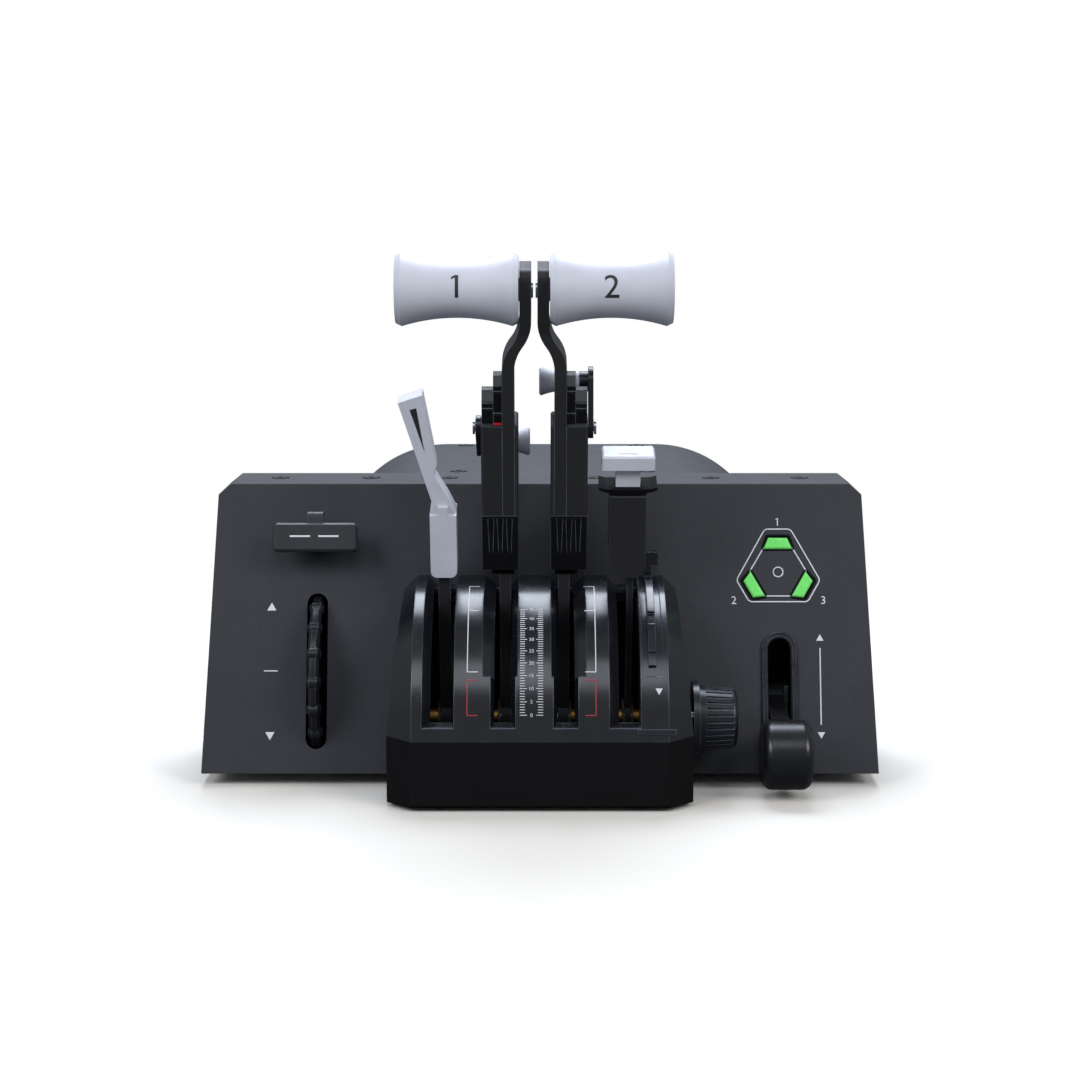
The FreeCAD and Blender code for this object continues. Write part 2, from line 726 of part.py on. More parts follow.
# ------------------------------------------------------------------------------------------------
# Lever module: tray, shell and the shaft that carries the levers
# ------------------------------------------------------------------------------------------------
def quadrant_base():
    """Black tray: wide in front of the panel, narrower where it passes through the doorway."""
    tray = body("quadrant_base")
    side = [("tray_front", "pad_thick"), (behind_panel("pad_thick"), "pad_thick"),
            (behind_panel("joint_z"), "joint_z"), ("tray_front", "joint_z")]
    extrude(tray, "x", [side], "-module_half", "module_half")
    bevel(tray, "base_bevel", lambda edge: runs(edge, 0) and edge.BoundBox.ZMax < value("pad_thick") + 1
          and edge.BoundBox.YMax < value("tray_front") + 1)
    inside = behind_panel("pad_thick") + " - 2"
    rear = [(inside, "pad_thick"), ("tray_back", "pad_thick"), ("tray_back", "joint_z - tray_step"),
            (inside, "joint_z - tray_step")]
    extrude(tray, "x", [rear], "-tray_half_rear", "tray_half_rear")
    corner = [("module_nose", "tray_front"), ("module_nose", "tray_front - 1"),
              ("module_half + 1", "tray_front - 1"), ("module_half + 1", "tray_front + facet_deep"),
              ("module_half", "tray_front + facet_deep")]
    extrude(tray, "z", [corner, mirrored(corner)], "0", "joint_z + 1", cut=True)
    half = [("module_nose - tray_wall / 2", "tray_front + tray_wall"),
            ("module_half - tray_wall", "tray_front + tray_wall / 2 + facet_deep"),
            ("module_half - tray_wall", behind_panel("pad_thick", "-tray_wall")),
            ("tray_half_rear - tray_wall", behind_panel("pad_thick", "-tray_wall")),
            ("tray_half_rear - tray_wall", "tray_back - tray_wall")]
    extrude(tray, "z", [half + mirrored(half)], "floor_z", "joint_z + 1", cut=True)


def polar(radius, elevation):
    """A point of the pivot frame's YZ plane at a radius and an elevation towards the pilot."""
    return "-(%s) * cos(%s)" % (radius, elevation), "(%s) * sin(%s)" % (radius, elevation)


def plate_back(distance, height):
    """Y of a plane parallel to the shell's front plate, at a distance from the lever pivot."""
    return "-((%s) - (%s) * sin(lean)) / cos(lean)" % (distance, height)


CHANNELS = (
    # slot's left and right edge, then how far the bevels reach beyond them
    ("brake_slot_left", "brake_slot_right", "brake_bevel", "brake_lip", "slot_low - 2"),
    ("throttle_middle - slot_out", "throttle_middle - slot_in", "slot_bevel", "slot_bevel",
     "slot_low - 2"),
    ("throttle_middle - slot_out", "throttle_middle - slot_in", "gate_out", "gate_in", "gate_low"),
    ("throttle_middle + slot_in", "throttle_middle + slot_out", "slot_bevel", "slot_bevel",
     "slot_low - 2"),
    ("throttle_middle + slot_in", "throttle_middle + slot_out", "gate_in", "gate_out", "gate_low"),
    ("flap_slot_left", "flap_slot_right", "flap_bevel", "flap_lip", "slot_low - 2"),
)


def quadrant_shell():
    """Moulded hood, round about the lever pivot, with four bevelled lever channels."""
    shell = body("quadrant_shell", "pivot")
    panel_low = "-pivot_back + (shell_low + pivot_z - panel_lift) * tan(lean)"
    panel_high = "-pivot_back + (arc + pivot_z - panel_lift) * tan(lean)"
    outside = [(plate_back("arc", "shell_low"), "shell_low"), (panel_low, "shell_low"),
               (panel_high, "arc"), ("0", "arc", "arc"), polar("arc", "lean")]
    extrude(shell, "x", [outside], "-module_half", "module_half")
    # inside: a full-height hollow between the flanks, a lower one out to them
    hollow = [(plate_back("arc_in", "shell_low - 1"), "shell_low - 1"), ("20", "shell_low - 1"),
              ("20", "arc_in"), ("0", "arc_in", "arc_in"), polar("arc_in", "lean")]
    extrude(shell, "x", [hollow], "-hollow_half", "hollow_half", cut=True)
    low_front = plate_back("arc_in - facet_deep / 2", "shell_low - 1")
    low = [(low_front, "shell_low - 1"), ("20", "shell_low - 1"), ("20", "flank_up - facet_deep"),
           ("-(arc_in - facet_deep) * 0.75", "flank_up - facet_deep"), (low_front, "shell_low + 8")]
    extrude(shell, "x", [low], "-module_half + side_lean + skin", "module_half - side_lean - skin",
            cut=True)
    # flanks lean in, and a facet follows the round back on each side
    flank = [("module_half", "shell_low"), ("module_half + 5", "shell_low"), ("module_half + 5", "arc + 5"),
             ("module_half - side_lean * (arc + 5 - shell_low) / (flank_up - shell_low)", "arc + 5")]
    extrude(shell, "y", [flank, mirrored(flank)], "-arc - 5", "25", cut=True)
    for side in ("-", ""):
        facet = [(side + "module_nose", "arc"), (side + "(module_half + 1)", "arc - facet_deep * 1.1"),
                 (side + "(module_half + 1)", "arc + 5"), (side + "module_nose", "arc + 5")]
        lathe(shell, facet, cut=True, spin="-10", sweep="100 - lean")
        corner = [(side + "module_nose", "-arc"), (side + "(module_half + 1)", "-arc + facet_deep * 1.1"),
                  (side + "(module_half + 1)", "-arc - 5"), (side + "module_nose", "-arc - 5")]
        extrude(shell, "z", [corner], "-25", "25", cut=True, spin="-lean")
    # channels with their bevels, then the slots through the wall
    for left, right, bevel_left, bevel_right, low_end in CHANNELS:
        trough = [("%s - %s" % (left, bevel_left), "arc + 2"), ("%s - %s" % (left, bevel_left), "arc"),
                  (left, "arc - groove"), (right, "arc - groove"),
                  ("%s + %s" % (right, bevel_right), "arc"), ("%s + %s" % (right, bevel_right), "arc + 2")]
        lathe(shell, trough, cut=True, spin="-6", sweep="96 - (%s)" % low_end)
    for left, right, bevel_left, bevel_right, low_end in CHANNELS[:2] + CHANNELS[3:4] + CHANNELS[5:]:
        lathe(shell, box_wire(left, "arc_in - 2", right, "arc"), cut=True, spin="90 - slot_high",
              sweep="slot_high - slot_low")
    # shallow panel that the flap gate stands in
    lathe(shell, box_wire("gate_panel_left", "arc - gate_sink", "gate_panel_right", "arc + 2"), cut=True,
          spin="-6", sweep="96 - gate_low")
    extrude(shell, "x", [("circle", "knob_y - pivot_y", "knob_z - pivot_z", "knob_shaft_radius + fit")],
            "module_half - side_lean - skin - 2", "module_half + 1", cut=True)


def flap_gate():
    """Stepped detent rail beside the flap slot, with a hooked post above the crest."""
    gate = body("flap_gate", "pivot")
    base, low, high = "arc - gate_sink", "arc + 1.2", "arc + gate_proud"
    steps = [("81", low), ("77", low), ("77", high), ("56", high), ("56", low), ("50", low),
             ("50", high), ("38", high), ("38", low), ("33", low)]
    wire = [polar(base, "33") + ("-(%s)" % base,), polar(base, "84"),
            ("-gate_post_back", "arc + gate_post_tall"),
            ("-gate_post_back - gate_post_deep", "arc + gate_post_tall"),
            ("-gate_post_back - gate_post_deep", "sqrt((%s)^2 - (gate_post_back + gate_post_deep)^2)" % low)]
    for place, (elevation, radius) in enumerate(steps):
        after = steps[(place + 1) % len(steps)]
        arc_on = place + 1 < len(steps) and after[1] == radius
        wire.append(polar(radius, elevation) + ((radius,) if arc_on else ()))
    extrude(gate, "x", [wire], "gate_left", "gate_right")
    hook = box_wire("-gate_post_back - gate_post_deep", "arc + gate_post_tall - 6", "-gate_post_back",
                    "arc + gate_post_tall")
    extrude(gate, "x", [hook], "gate_right", "gate_right + 3")


HUBS = {
    "speed_brake": ("brake_left", "brake_right"),
    "throttle_1": ("throttle_middle - stem_out", "throttle_middle - stem_in"),
    "throttle_2": ("throttle_middle + stem_in", "throttle_middle + stem_out"),
    "flap": ("flap_left", "flap_right"),
}


def pivot_shaft():
    shaft = body("pivot_shaft", "pivot")
    end, shoulder = "(bracket_at + bracket_thick + shaft_proud)", "shaft_radius - shaft_bevel"
    lathe(shaft, [("-" + end, "0"), (end, "0"), (end, shoulder), (end + " - shaft_bevel", "shaft_radius"),
                  ("-%s + shaft_bevel" % end, "shaft_radius"), ("-" + end, shoulder)])


def shaft_brackets():
    """Two bearing plates that stand on the tray's floor."""
    low = "floor_z - pivot_z"
    skirt = low + " + bracket_skirt"
    outline = [("-bracket_half", low), ("bracket_half", low), ("bracket_half", skirt),
               ("bracket_head", "0", "round"), ("-bracket_head", "0"), ("-bracket_half", skirt)]
    for name, side in (("shaft_bracket_left", -1), ("shaft_bracket_right", 1)):
        bracket = body(name, "pivot")
        ends = ["%d * bracket_at" % side, "%d * (bracket_at + bracket_thick)" % side]
        extrude(bracket, "x", [outline, ("circle", "0", "0", "shaft_radius + run / 2")],
                *ends[::side])
        foot = ["%d * (bracket_at - bracket_foot)" % side, "%d * bracket_at" % side]
        extrude(bracket, "x", [box_wire("-bracket_half", low, "bracket_half", low + " + bracket_sole")],
                *foot[::side])


def shaft_stack():
    """Spacer tubes and friction washers that keep the four hubs apart on the shaft."""
    spacers, washers = body("lever_spacers", "pivot"), body("friction_washers", "pivot")
    edges = ["-bracket_at"] + [edge for hub in HUBS.values() for edge in hub] + ["bracket_at"]
    for place in range(0, len(edges), 2):
        left, right = edges[place], edges[place + 1]
        if place > 0:
            ring(washers, left + " + side_gap", left + " + side_gap + washer_thick", "washer_radius",
                 "shaft_radius + run / 2")
            left += " + side_gap + washer_thick"
        if place + 2 < len(edges):
            ring(washers, right + " - side_gap - washer_thick", right + " - side_gap", "washer_radius",
                 "shaft_radius + run / 2")
            right += " - side_gap - washer_thick"
        ring(spacers, left, right, "spacer_radius", "shaft_radius + run / 2")


def lever_sensors():
    """One angle sensor on the tray's floor under each hub."""
    sensors = body("lever_sensors", "pivot")
    for left, right in HUBS.values():
        extrude(sensors, "x", [box_wire("-sensor_half", "floor_z - pivot_z", "sensor_half",
                                        "-hub_radius - sensor_gap")],
                left + " - sensor_side", right + " + sensor_side")


# ------------------------------------------------------------------------------------------------
# What the panel carries
# ------------------------------------------------------------------------------------------------
LAMP_TURNS = (0, 120, 240)


def lamp_wire(turn, grow="0"):
    """Trapezoid of one lamp, turned about the middle of the lamp triangle."""
    corners = []
    for across, side, out in (("-", "lamp_inner", "-"), ("", "lamp_inner", "-"),
                              ("", "lamp_outer", ""), ("-", "lamp_outer", "")):
        along = "%s(%s + %s)" % (across, side, grow)
        away = "lamp_ring + %s(lamp_tall / 2 + %s)" % (out, grow)
        corners.append(("gear_middle + (%s) * cos(%d) - (%s) * sin(%d)" % (along, turn, away, turn),
                        "lamp_up + (%s) * sin(%d) + (%s) * cos(%d)" % (along, turn, away, turn)))
    return corners


def gear_lamps():
    """Three lit lenses and the circuit board behind them."""
    lenses = body("gear_lamps", "panel")
    extrude(lenses, "y", [lamp_wire(turn) for turn in LAMP_TURNS], "-lamp_proud", "panel_thick")
    bevel(lenses, "lamp_bevel", lambda edge: at_front(edge, "lamp_proud"))
    board = body("lamp_board", "panel")
    outline = round_box("gear_middle - lamp_board_half", "lamp_up - lamp_board_low",
                        "gear_middle + lamp_board_half", "lamp_up + lamp_board_half", "lamp_board_round")
    extrude(board, "y", [outline], "panel_thick", "panel_thick + board_thick")
    driver = box_wire("gear_middle - driver_half", "lamp_up - driver_half", "gear_middle + driver_half",
                      "lamp_up + driver_half")
    extrude(board, "y", [driver], "panel_thick + board_thick", "panel_thick + board_thick + driver_tall")


def gear_slot_bezel():
    """Raised rim round the gear slot, two ridges with a valley between them."""
    rim = body("gear_slot_bezel", "panel")
    slot = slot_wire("gear_middle", "gear_slot_low", "gear_slot_top", "gear_slot_wide")
    outer = slot_wire("gear_middle", "gear_slot_low - bezel_rim", "gear_slot_top + bezel_rim",
                      "gear_slot_wide + 2 * bezel_rim")
    extrude(rim, "y", [outer, slot], "-bezel_proud", "0")
    bevel(rim, "bezel_proud / 3", lambda edge: at_front(edge, "bezel_proud"))
    valley = [slot_wire("gear_middle", "gear_slot_low - " + grown, "gear_slot_top + " + grown,
                        "gear_slot_wide + 2 * (%s)" % grown)
              for grown in ("(bezel_valley + bezel_valley_wide)", "bezel_valley")]
    extrude(rim, "y", valley, "-bezel_proud - 1", "-bezel_proud / 2", cut=True)


def gear_lever():
    """Tapered arm with a wheel-shaped knob, on a pin in a bracket behind the panel."""
    arm = body("gear_arm", "gear")
    profile = [("-gear_arm_root", "0"), ("gear_arm_root", "0"), ("gear_arm_waist", "gear_reach / 3"),
               ("gear_arm_end", "gear_reach"), ("-gear_arm_end", "gear_reach"),
               ("-gear_arm_waist", "gear_reach / 3")]
    extrude(arm, "x", [profile], "gear_middle - gear_arm_half", "gear_middle + gear_arm_half")
    extrude(arm, "x", [("circle", "0", "0", "gear_hub_radius")], "gear_middle - gear_arm_half",
            "gear_middle + gear_arm_half")
    extrude(arm, "x", [("circle", "0", "0", "gear_pin_radius + run")], "gear_middle - 2 * gear_arm_half",
            "gear_middle + 2 * gear_arm_half", cut=True)
    lathe(arm, box_wire("gear_middle - 2 * gear_arm_half", "0", "gear_middle + 2 * gear_arm_half",
                        "gear_knob_radius - gear_tyre"), shift="gear_reach", cut=True)
    knob = body("gear_knob", "gear")
    wide, round_off = "gear_knob_wide / 2", "gear_knob_round"
    lathe(knob, [("gear_middle - " + wide, "0"), ("gear_middle + " + wide, "0"),
                 ("gear_middle + " + wide, "gear_knob_radius - " + round_off, round_off),
                 ("gear_middle + %s - %s" % (wide, round_off), "gear_knob_radius"),
                 ("gear_middle - %s + %s" % (wide, round_off), "gear_knob_radius", round_off),
                 ("gear_middle - " + wide, "gear_knob_radius - " + round_off)], shift="gear_reach")
    slit = box_wire("gear_middle - gear_arm_half - run", "gear_reach - gear_knob_radius - 1",
                    "gear_middle + gear_arm_half + run", "gear_reach - gear_knob_radius + gear_tyre + 1")
    extrude(knob, "y", [slit], "-5", "5", cut=True)


def gear_mount():
    """U bracket on the base plate and the pin of the gear lever."""
    bracket = body("gear_bracket")
    inner, outer = "(gear_arm_half + side_gap)", "(gear_arm_half + side_gap + ear_thick)"
    sole, top = "plate_top + bracket_sole", "gear_z + gear_ear"
    outline = [("gear_middle - " + outer, "plate_top"), ("gear_middle + " + outer, "plate_top"),
               ("gear_middle + " + outer, top), ("gear_middle + " + inner, top),
               ("gear_middle + " + inner, sole), ("gear_middle - " + inner, sole),
               ("gear_middle - " + inner, top), ("gear_middle - " + outer, top)]
    extrude(bracket, "y", [outline], "gear_y - gear_ear", "gear_y + gear_ear")
    extrude(bracket, "x", [("circle", "gear_y", "gear_z", "gear_pin_radius + run / 2")],
            "gear_middle - 2 * gear_ear", "gear_middle + 2 * gear_ear", cut=True)
    pin = body("gear_pin")
    reach = "(gear_arm_half + side_gap + 1.5 * ear_thick)"
    lathe(pin, box_wire("gear_middle - " + reach, "0", "gear_middle + " + reach, "gear_pin_radius"),
          shift="gear_z", back="gear_y")


def trim_wheel():
    """Wheel with a beaded rim that turns in the panel's slot, with its axle and bracket."""
    wheel = body("trim_wheel", "panel")
    cord = [("trim_middle - trim_cord", "trim_bead_ring - trim_cord / 2"),
            ("trim_middle + trim_cord", "trim_bead_ring - trim_cord / 2"),
            ("trim_middle + trim_cord", "trim_bead_ring + trim_cord / 2"),
            ("trim_middle + trim_cord / 2", "trim_bead_ring + trim_cord"),
            ("trim_middle - trim_cord / 2", "trim_bead_ring + trim_cord"),
            ("trim_middle - trim_cord", "trim_bead_ring + trim_cord / 2")]
    rim = lathe(wheel, cord, "trim_up", "trim_behind")
    web = [("trim_middle - trim_hub_half", "trim_axle_radius + run"),
           ("trim_middle + trim_hub_half", "trim_axle_radius + run"),
           ("trim_middle + trim_hub_half", "trim_hub"), ("trim_middle + trim_web", "trim_flare"),
           ("trim_middle + trim_web", "trim_bead_ring"), ("trim_middle - trim_web", "trim_bead_ring"),
           ("trim_middle - trim_web", "trim_flare"), ("trim_middle - trim_hub_half", "trim_hub")]
    lathe(wheel, web, "trim_up", "trim_behind")
    ball = [("trim_middle - trim_bead", "0"), ("trim_middle + trim_bead", "0"),
            ("trim_middle + trim_bead", "trim_bead / 2"), ("trim_middle + trim_bead * 0.55", "trim_bead"),
            ("trim_middle - trim_bead * 0.55", "trim_bead"), ("trim_middle - trim_bead", "trim_bead / 2")]
    bead_sketch = sketch_on(wheel, "y", [ball], "trim_behind", "trim_up + trim_bead_ring")
    bead = wheel.newObject("PartDesign::Revolution", "bead")
    bead.Profile = bead_sketch
    bead.ReferenceAxis = (bead_sketch, ["H_Axis"])
    beads = wheel.newObject("PartDesign::PolarPattern", "beads")
    beads.Originals = [bead]
    beads.Axis = (rim.Profile[0], ["H_Axis"])
    beads.Angle = 360
    bind(beads, Occurrences="trim_beads")
    wheel.Tip = beads
    axle = body("trim_axle", "panel")
    axle_end = "(trim_ear + 1.5 * ear_thick)"
    lathe(axle, box_wire("trim_middle - " + axle_end, "0", "trim_middle + " + axle_end, "trim_axle_radius"),
          "trim_up", "trim_behind")
    bracket = body("trim_bracket", "panel")
    near, far = "(trim_behind - trim_ear_foot)", "(trim_behind + trim_ear_foot)"
    ear = [("trim_behind + trim_ear_head", "trim_up", "round"), ("trim_behind - trim_ear_head", "trim_up"),
           (near, "(plate_top - panel_lift + %s * sin(lean)) / cos(lean)" % near),
           (far, "(plate_top - panel_lift + %s * sin(lean)) / cos(lean)" % far)]
    bore = ("circle", "trim_behind", "trim_up", "trim_axle_radius + run / 2")
    for low, high in (("trim_middle - trim_ear - ear_thick", "trim_middle - trim_ear"),
                      ("trim_middle + trim_ear", "trim_middle + trim_ear + ear_thick")):
        extrude(bracket, "x", [ear, bore], low, high)


def park_brake():
    """Pull plate on a round rod, with the guide bush that the rod slides in."""
    plate = body("park_brake_plate", "panel")
    extrude(plate, "y", [round_box("park_middle - park_wide / 2", "park_up - park_tall / 2",
                                   "park_middle + park_wide / 2", "park_up + park_tall / 2",
                                   "park_round")], "-park_out - park_thick", "-park_out")
    bevel(plate, "park_bevel", lambda edge: at_front(edge, "park_out + park_thick"))
    top = "park_up + park_tall / 2"
    tip = top + " + park_neck"
    neck = [("-park_out - neck_thick", top + " - neck_lip"), ("-park_out", top + " - neck_lip"),
            ("-park_out", tip + " - neck_thick", "neck_lip - neck_thick"),
            ("-park_out + neck_thick - neck_lip", tip + " - neck_lip"),
            ("-park_out + neck_reach", tip + " - neck_lip"), ("-park_out + neck_reach", tip),
            ("-park_out", tip, "neck_thick"), ("-park_out - neck_thick", tip + " - neck_thick")]
    extrude(plate, "x", [neck], "park_middle - neck_half", "park_middle + neck_half")
    rod = body("park_brake_rod", "panel")
    extrude(rod, "y", [("circle", "park_middle", "park_rod_up", "park_rod_radius")],
            "-park_out", "park_inside")
    extrude(rod, "y", [("circle", "park_middle", "park_rod_up", "park_rod_radius + stop_wide")],
            "park_inside - 2 * stop_thick", "park_inside - stop_thick")
    guide = body("park_brake_guide", "panel")
    bore = ("circle", "park_middle", "park_rod_up", "park_rod_radius + run")
    extrude(guide, "y", [("circle", "park_middle", "park_rod_up", "guide_radius"), bore],
            "-stop_thick", "park_inside - 2 * stop_thick - park_travel - 0.5")
    extrude(guide, "y", [("circle", "park_middle", "park_rod_up", "guide_radius + stop_wide"), bore],
            "panel_thick", "panel_thick + stop_wide")


def selector_knob():
    """Fluted knob on the module's right flank, its shaft and the encoder inside."""
    knob = body("selector_knob")
    outline = [("knob_start", "0"), ("knob_end", "0"), ("knob_end", "knob_nose - knob_edge", "knob_edge"),
               ("knob_end - knob_edge", "knob_nose"), ("knob_start + knob_skirt", "knob_root"),
               ("knob_start + knob_skirt", "knob_flange"), ("knob_start", "knob_flange")]
    first = lathe(knob, outline, shift="knob_z", back="knob_y")
    groove = box_wire("knob_y - knob_flute", "knob_z + knob_nose - knob_flute", "knob_y + knob_flute",
                      "knob_z + knob_root + 1")
    slit = extrude(knob, "x", [groove], "knob_start + 2 * knob_skirt", "knob_end - knob_edge * 0.7",
                   cut=True)
    flutes = knob.newObject("PartDesign::PolarPattern", "flutes")
    flutes.Originals = [slit]
    flutes.Axis = (first.Profile[0], ["H_Axis"])
    flutes.Angle = 360
    bind(flutes, Occurrences="knob_ribs")
    knob.Tip = flutes
    extrude(knob, "x", [("circle", "knob_y", "knob_z", "knob_shaft_radius + run")], "knob_start - 1",
            "(knob_start + knob_end) / 2", cut=True)
    shaft = body("knob_shaft")
    inner = "module_half - side_lean - skin"
    lathe(shaft, box_wire(inner + " + side_gap", "0", "(knob_start + knob_end) / 2", "knob_shaft_radius"),
          shift="knob_z", back="knob_y")
    encoder = body("knob_encoder")
    extrude(encoder, "x", [box_wire("knob_y - encoder_half", "knob_z - encoder_half",
                                    "knob_y + encoder_half", "knob_z + encoder_half")],
            inner + " - encoder_deep", inner)


def control_board():
    """Main circuit board on four pillars, with its cable socket in the rear wall."""
    board = body("control_board")
    right, left = "rear_middle + board_wide / 2", "rear_middle - board_wide / 2"
    far, near = "rear_y - gauge - 1", "rear_y - gauge - 1 - board_deep"
    under = "usb_z - board_thick"
    extrude(board, "z", [box_wire(left, near, right, far)], under, "usb_z")
    pillars = [("circle", across, back, "pillar_radius")
               for across in (left + " + pillar_inset", right + " - pillar_inset")
               for back in (near + " + pillar_inset", far + " - pillar_inset")]
    extrude(board, "z", pillars, "plate_top", under)
    chip = box_wire("rear_middle - chip_half", near + " + 2 * chip_half", "rear_middle + chip_half",
                    near + " + 4 * chip_half")
    extrude(board, "z", [chip], "usb_z", "usb_z + chip_tall")
    socket = body("usb_socket")
    left, right = "rear_middle - usb_wide / 2", "rear_middle + usb_wide / 2"
    extrude(socket, "y", [round_box(left, "usb_z", right, "usb_z + usb_tall", "usb_round - 0.1")],
            "rear_y - usb_deep", "rear_y - fit")
    extrude(socket, "y", [round_box(left + " + usb_wall", "usb_z + usb_wall", right + " - usb_wall",
                                    "usb_z + usb_tall - usb_wall", "usb_round - 0.1 - usb_wall")],
            "rear_y - usb_deep * 0.6", "rear_y", cut=True)


# ------------------------------------------------------------------------------------------------
# Levers
# ------------------------------------------------------------------------------------------------
def hub_and_stem(lever, left, right, top):
    """Bored hub on the pivot shaft with a plain stem up from it."""
    extrude(lever, "x", [("circle", "0", "0", "hub_radius")], left, right)
    extrude(lever, "x", [box_wire("-stem_half", "0", "stem_half", top)], left, right)
    extrude(lever, "x", [("circle", "0", "0", "shaft_radius + run")], left + " - 1", right + " + 1",
            cut=True)


def side_of(side, text):
    """X of a distance from the plane between the throttle levers, on one side of it."""
    return "throttle_middle + %d * (%s)" % (side, text)


def span(side, near, far):
    """The two X limits in rising order."""
    limits = [side_of(side, near), side_of(side, far)]
    return limits if side > 0 else limits[::-1]


def throttle_arm(number, side):
    """Steel arm: thin through the slot, thicker above, bent inwards by an S to its head."""
    arm = body("throttle_%d_arm" % number, "lever")
    profile = [("-stem_half", "0"), ("stem_half", "0"), ("stem_half", "neck_top - 9"),
               ("head_half", "neck_top"), ("head_half", "head_top - head_corner", "head_corner"),
               ("head_half - head_corner", "head_top"),
               ("-head_half + head_corner", "head_top", "head_corner"),
               ("-head_half", "head_top - head_corner"), ("-head_half", "neck_top"),
               ("-case_half", "neck_top - 6"), ("-case_half", "case_low"), ("-stem_half", "case_low")]
    extrude(arm, "x", [profile], *span(side, "head_in", "stem_out"))
    extrude(arm, "x", [("circle", "0", "0", "hub_radius")], *span(side, "stem_in", "stem_out"))
    middle = "(neck_low + neck_top) / 2"

    def bend(near, far):
        sweep = "((%s - %s)^2 + (neck_top - neck_low)^2) / (4 * (%s - %s))" % (near, far, near, far)
        return "%d * (%s)" % (side, sweep), "-%d * (%s)" % (side, sweep)

    outer, inner = bend("bar_in", "head_in")
    within = [("-1", "-hub_radius - 1"), ("stem_in", "-hub_radius - 1"), ("stem_in", "case_low"),
              ("bar_in", "case_low"), ("bar_in", "neck_low", outer),
              ("(bar_in + head_in) / 2", middle, inner), ("head_in", "neck_top"),
              ("head_in", "head_top + 1"), ("-1", "head_top + 1")]
    outer, inner = bend("bar_out", "head_out")
    beyond = [("stem_out + 4", "-hub_radius - 1"), ("stem_out + 4", "head_top + 1"),
              ("head_out", "head_top + 1"), ("head_out", "neck_top", outer),
              ("(bar_out + head_out) / 2", middle, inner), ("bar_out", "neck_low"),
              ("bar_out", "case_low"), ("stem_out", "case_low"), ("stem_out", "-hub_radius - 1")]
    for wire in (within, beyond):
        placed = [(side_of(side, corner[0]),) + corner[1:] for corner in wire]
        extrude(arm, "y", [placed], "-head_half - 1", "head_half + 1", cut=True)
    extrude(arm, "x", [("circle", "0", "0", "shaft_radius + run")],
            *span(side, "stem_in - 1", "stem_out + 1"), cut=True)
    extrude(arm, "x", [("circle", "0", "handle_up", "screw_radius + run")],
            *span(side, "head_in - 1", "head_out + 1"), cut=True)


FLUTES = 3


def throttle_case(number, side):
    """Housing beside and behind the arm, the boot below it and the pawl block on top."""
    case = body("throttle_%d_case" % number, "lever")
    extrude(case, "x", [box_wire("-case_half", "case_low", "case_half", "case_top")],
            *span(side, "case_in", "case_out"))
    bevel(case, "case_bevel", lambda edge: runs(edge, 2) or edge.BoundBox.ZMin > value("case_top") - 0.1)
    groove = box_wire(span(side, "bar_in", "bar_out")[0], "-case_half - 1",
                      span(side, "bar_in", "bar_out")[1], "stem_half")
    extrude(case, "z", [groove], "case_low - 1", "case_top + 1", cut=True)
    extrude(case, "x", [("circle", "reverser_back", "reverser_up", "reverser_pin + run / 2")],
            *span(side, "bar_out + 1", "case_out + 1"), cut=True)
    boot = body("throttle_%d_boot" % number, "lever")
    taper = [("-case_half + 2", "boot_low"), ("case_half - 2", "boot_low"), ("case_half", "case_low"),
             ("-case_half", "case_low")]
    extrude(boot, "x", [taper], *span(side, "case_in", "case_out"))
    tongue = [("-case_half + 3.5", "boot_low - boot_tongue"), ("case_half - 3.5", "boot_low - boot_tongue"),
              ("case_half - 2", "boot_low"), ("-case_half + 2", "boot_low")]
    extrude(boot, "x", [tongue], *span(side, "case_in + 1.8", "case_out - 4"))
    well = box_wire(span(side, "stem_in - 0.2", "stem_out + 0.2")[0], "-stem_half - 0.2",
                    span(side, "stem_in - 0.2", "stem_out + 0.2")[1], "stem_half + 0.2")
    extrude(boot, "z", [well], "boot_low - boot_tongue - 1", "case_low + 1", cut=True)
    # flutes run out towards the foot, because the front leans in under them
    for place in range(FLUTES):
        middle = "case_in + (case_out - case_in) * %d / %d" % (place + 1, FLUTES + 1)
        flute = [(middle + " - flute_foot", "boot_low"), (middle + " + flute_foot", "boot_low"),
                 (middle + " + flute_top", "case_low - flute_top"),
                 (middle + " - flute_top", "case_low - flute_top")]
        extrude(boot, "y", [[(side_of(side, across), up) for across, up in flute]],
                "-case_half - 1", "-case_half + flute_deep", cut=True)


def throttle_pawl(number, side):
    """Two stepped blocks on the case, beside the arm."""
    pawl = body("throttle_%d_pawl" % number, "lever")
    tall = [("-7", "case_top"), ("4", "case_top"), ("4", "pawl_top - 3", "3"), ("1", "pawl_top"),
            ("-4", "pawl_top"), ("-7", "pawl_top - 4")]
    extrude(pawl, "x", [tall], *span(side, "bar_out", "pawl_out"))
    short = [("-6.5", "case_top"), ("4", "case_top"), ("4", "pawl_low_top - 3", "3"), ("1", "pawl_low_top"),
             ("-3", "pawl_low_top"), ("-6.5", "pawl_low_top - 4")]
    extrude(pawl, "x", [short], *span(side, "pawl_out", "case_out - ledge"))
    for near, far, face, up in (("bar_out", "pawl_out", "7", "case_top + 4"),
                                ("bar_out", "pawl_out", "7", "pawl_top - 7"),
                                ("pawl_out", "case_out - ledge", "6.5", "case_top + 6"),
                                ("pawl_out", "case_out - ledge", "6.5", "pawl_low_top - 5.5")):
        extrude(pawl, "x", [box_wire("-%s - ledge" % face, up, "0", up + " + ledge_tall")],
                *span(side, near, far))


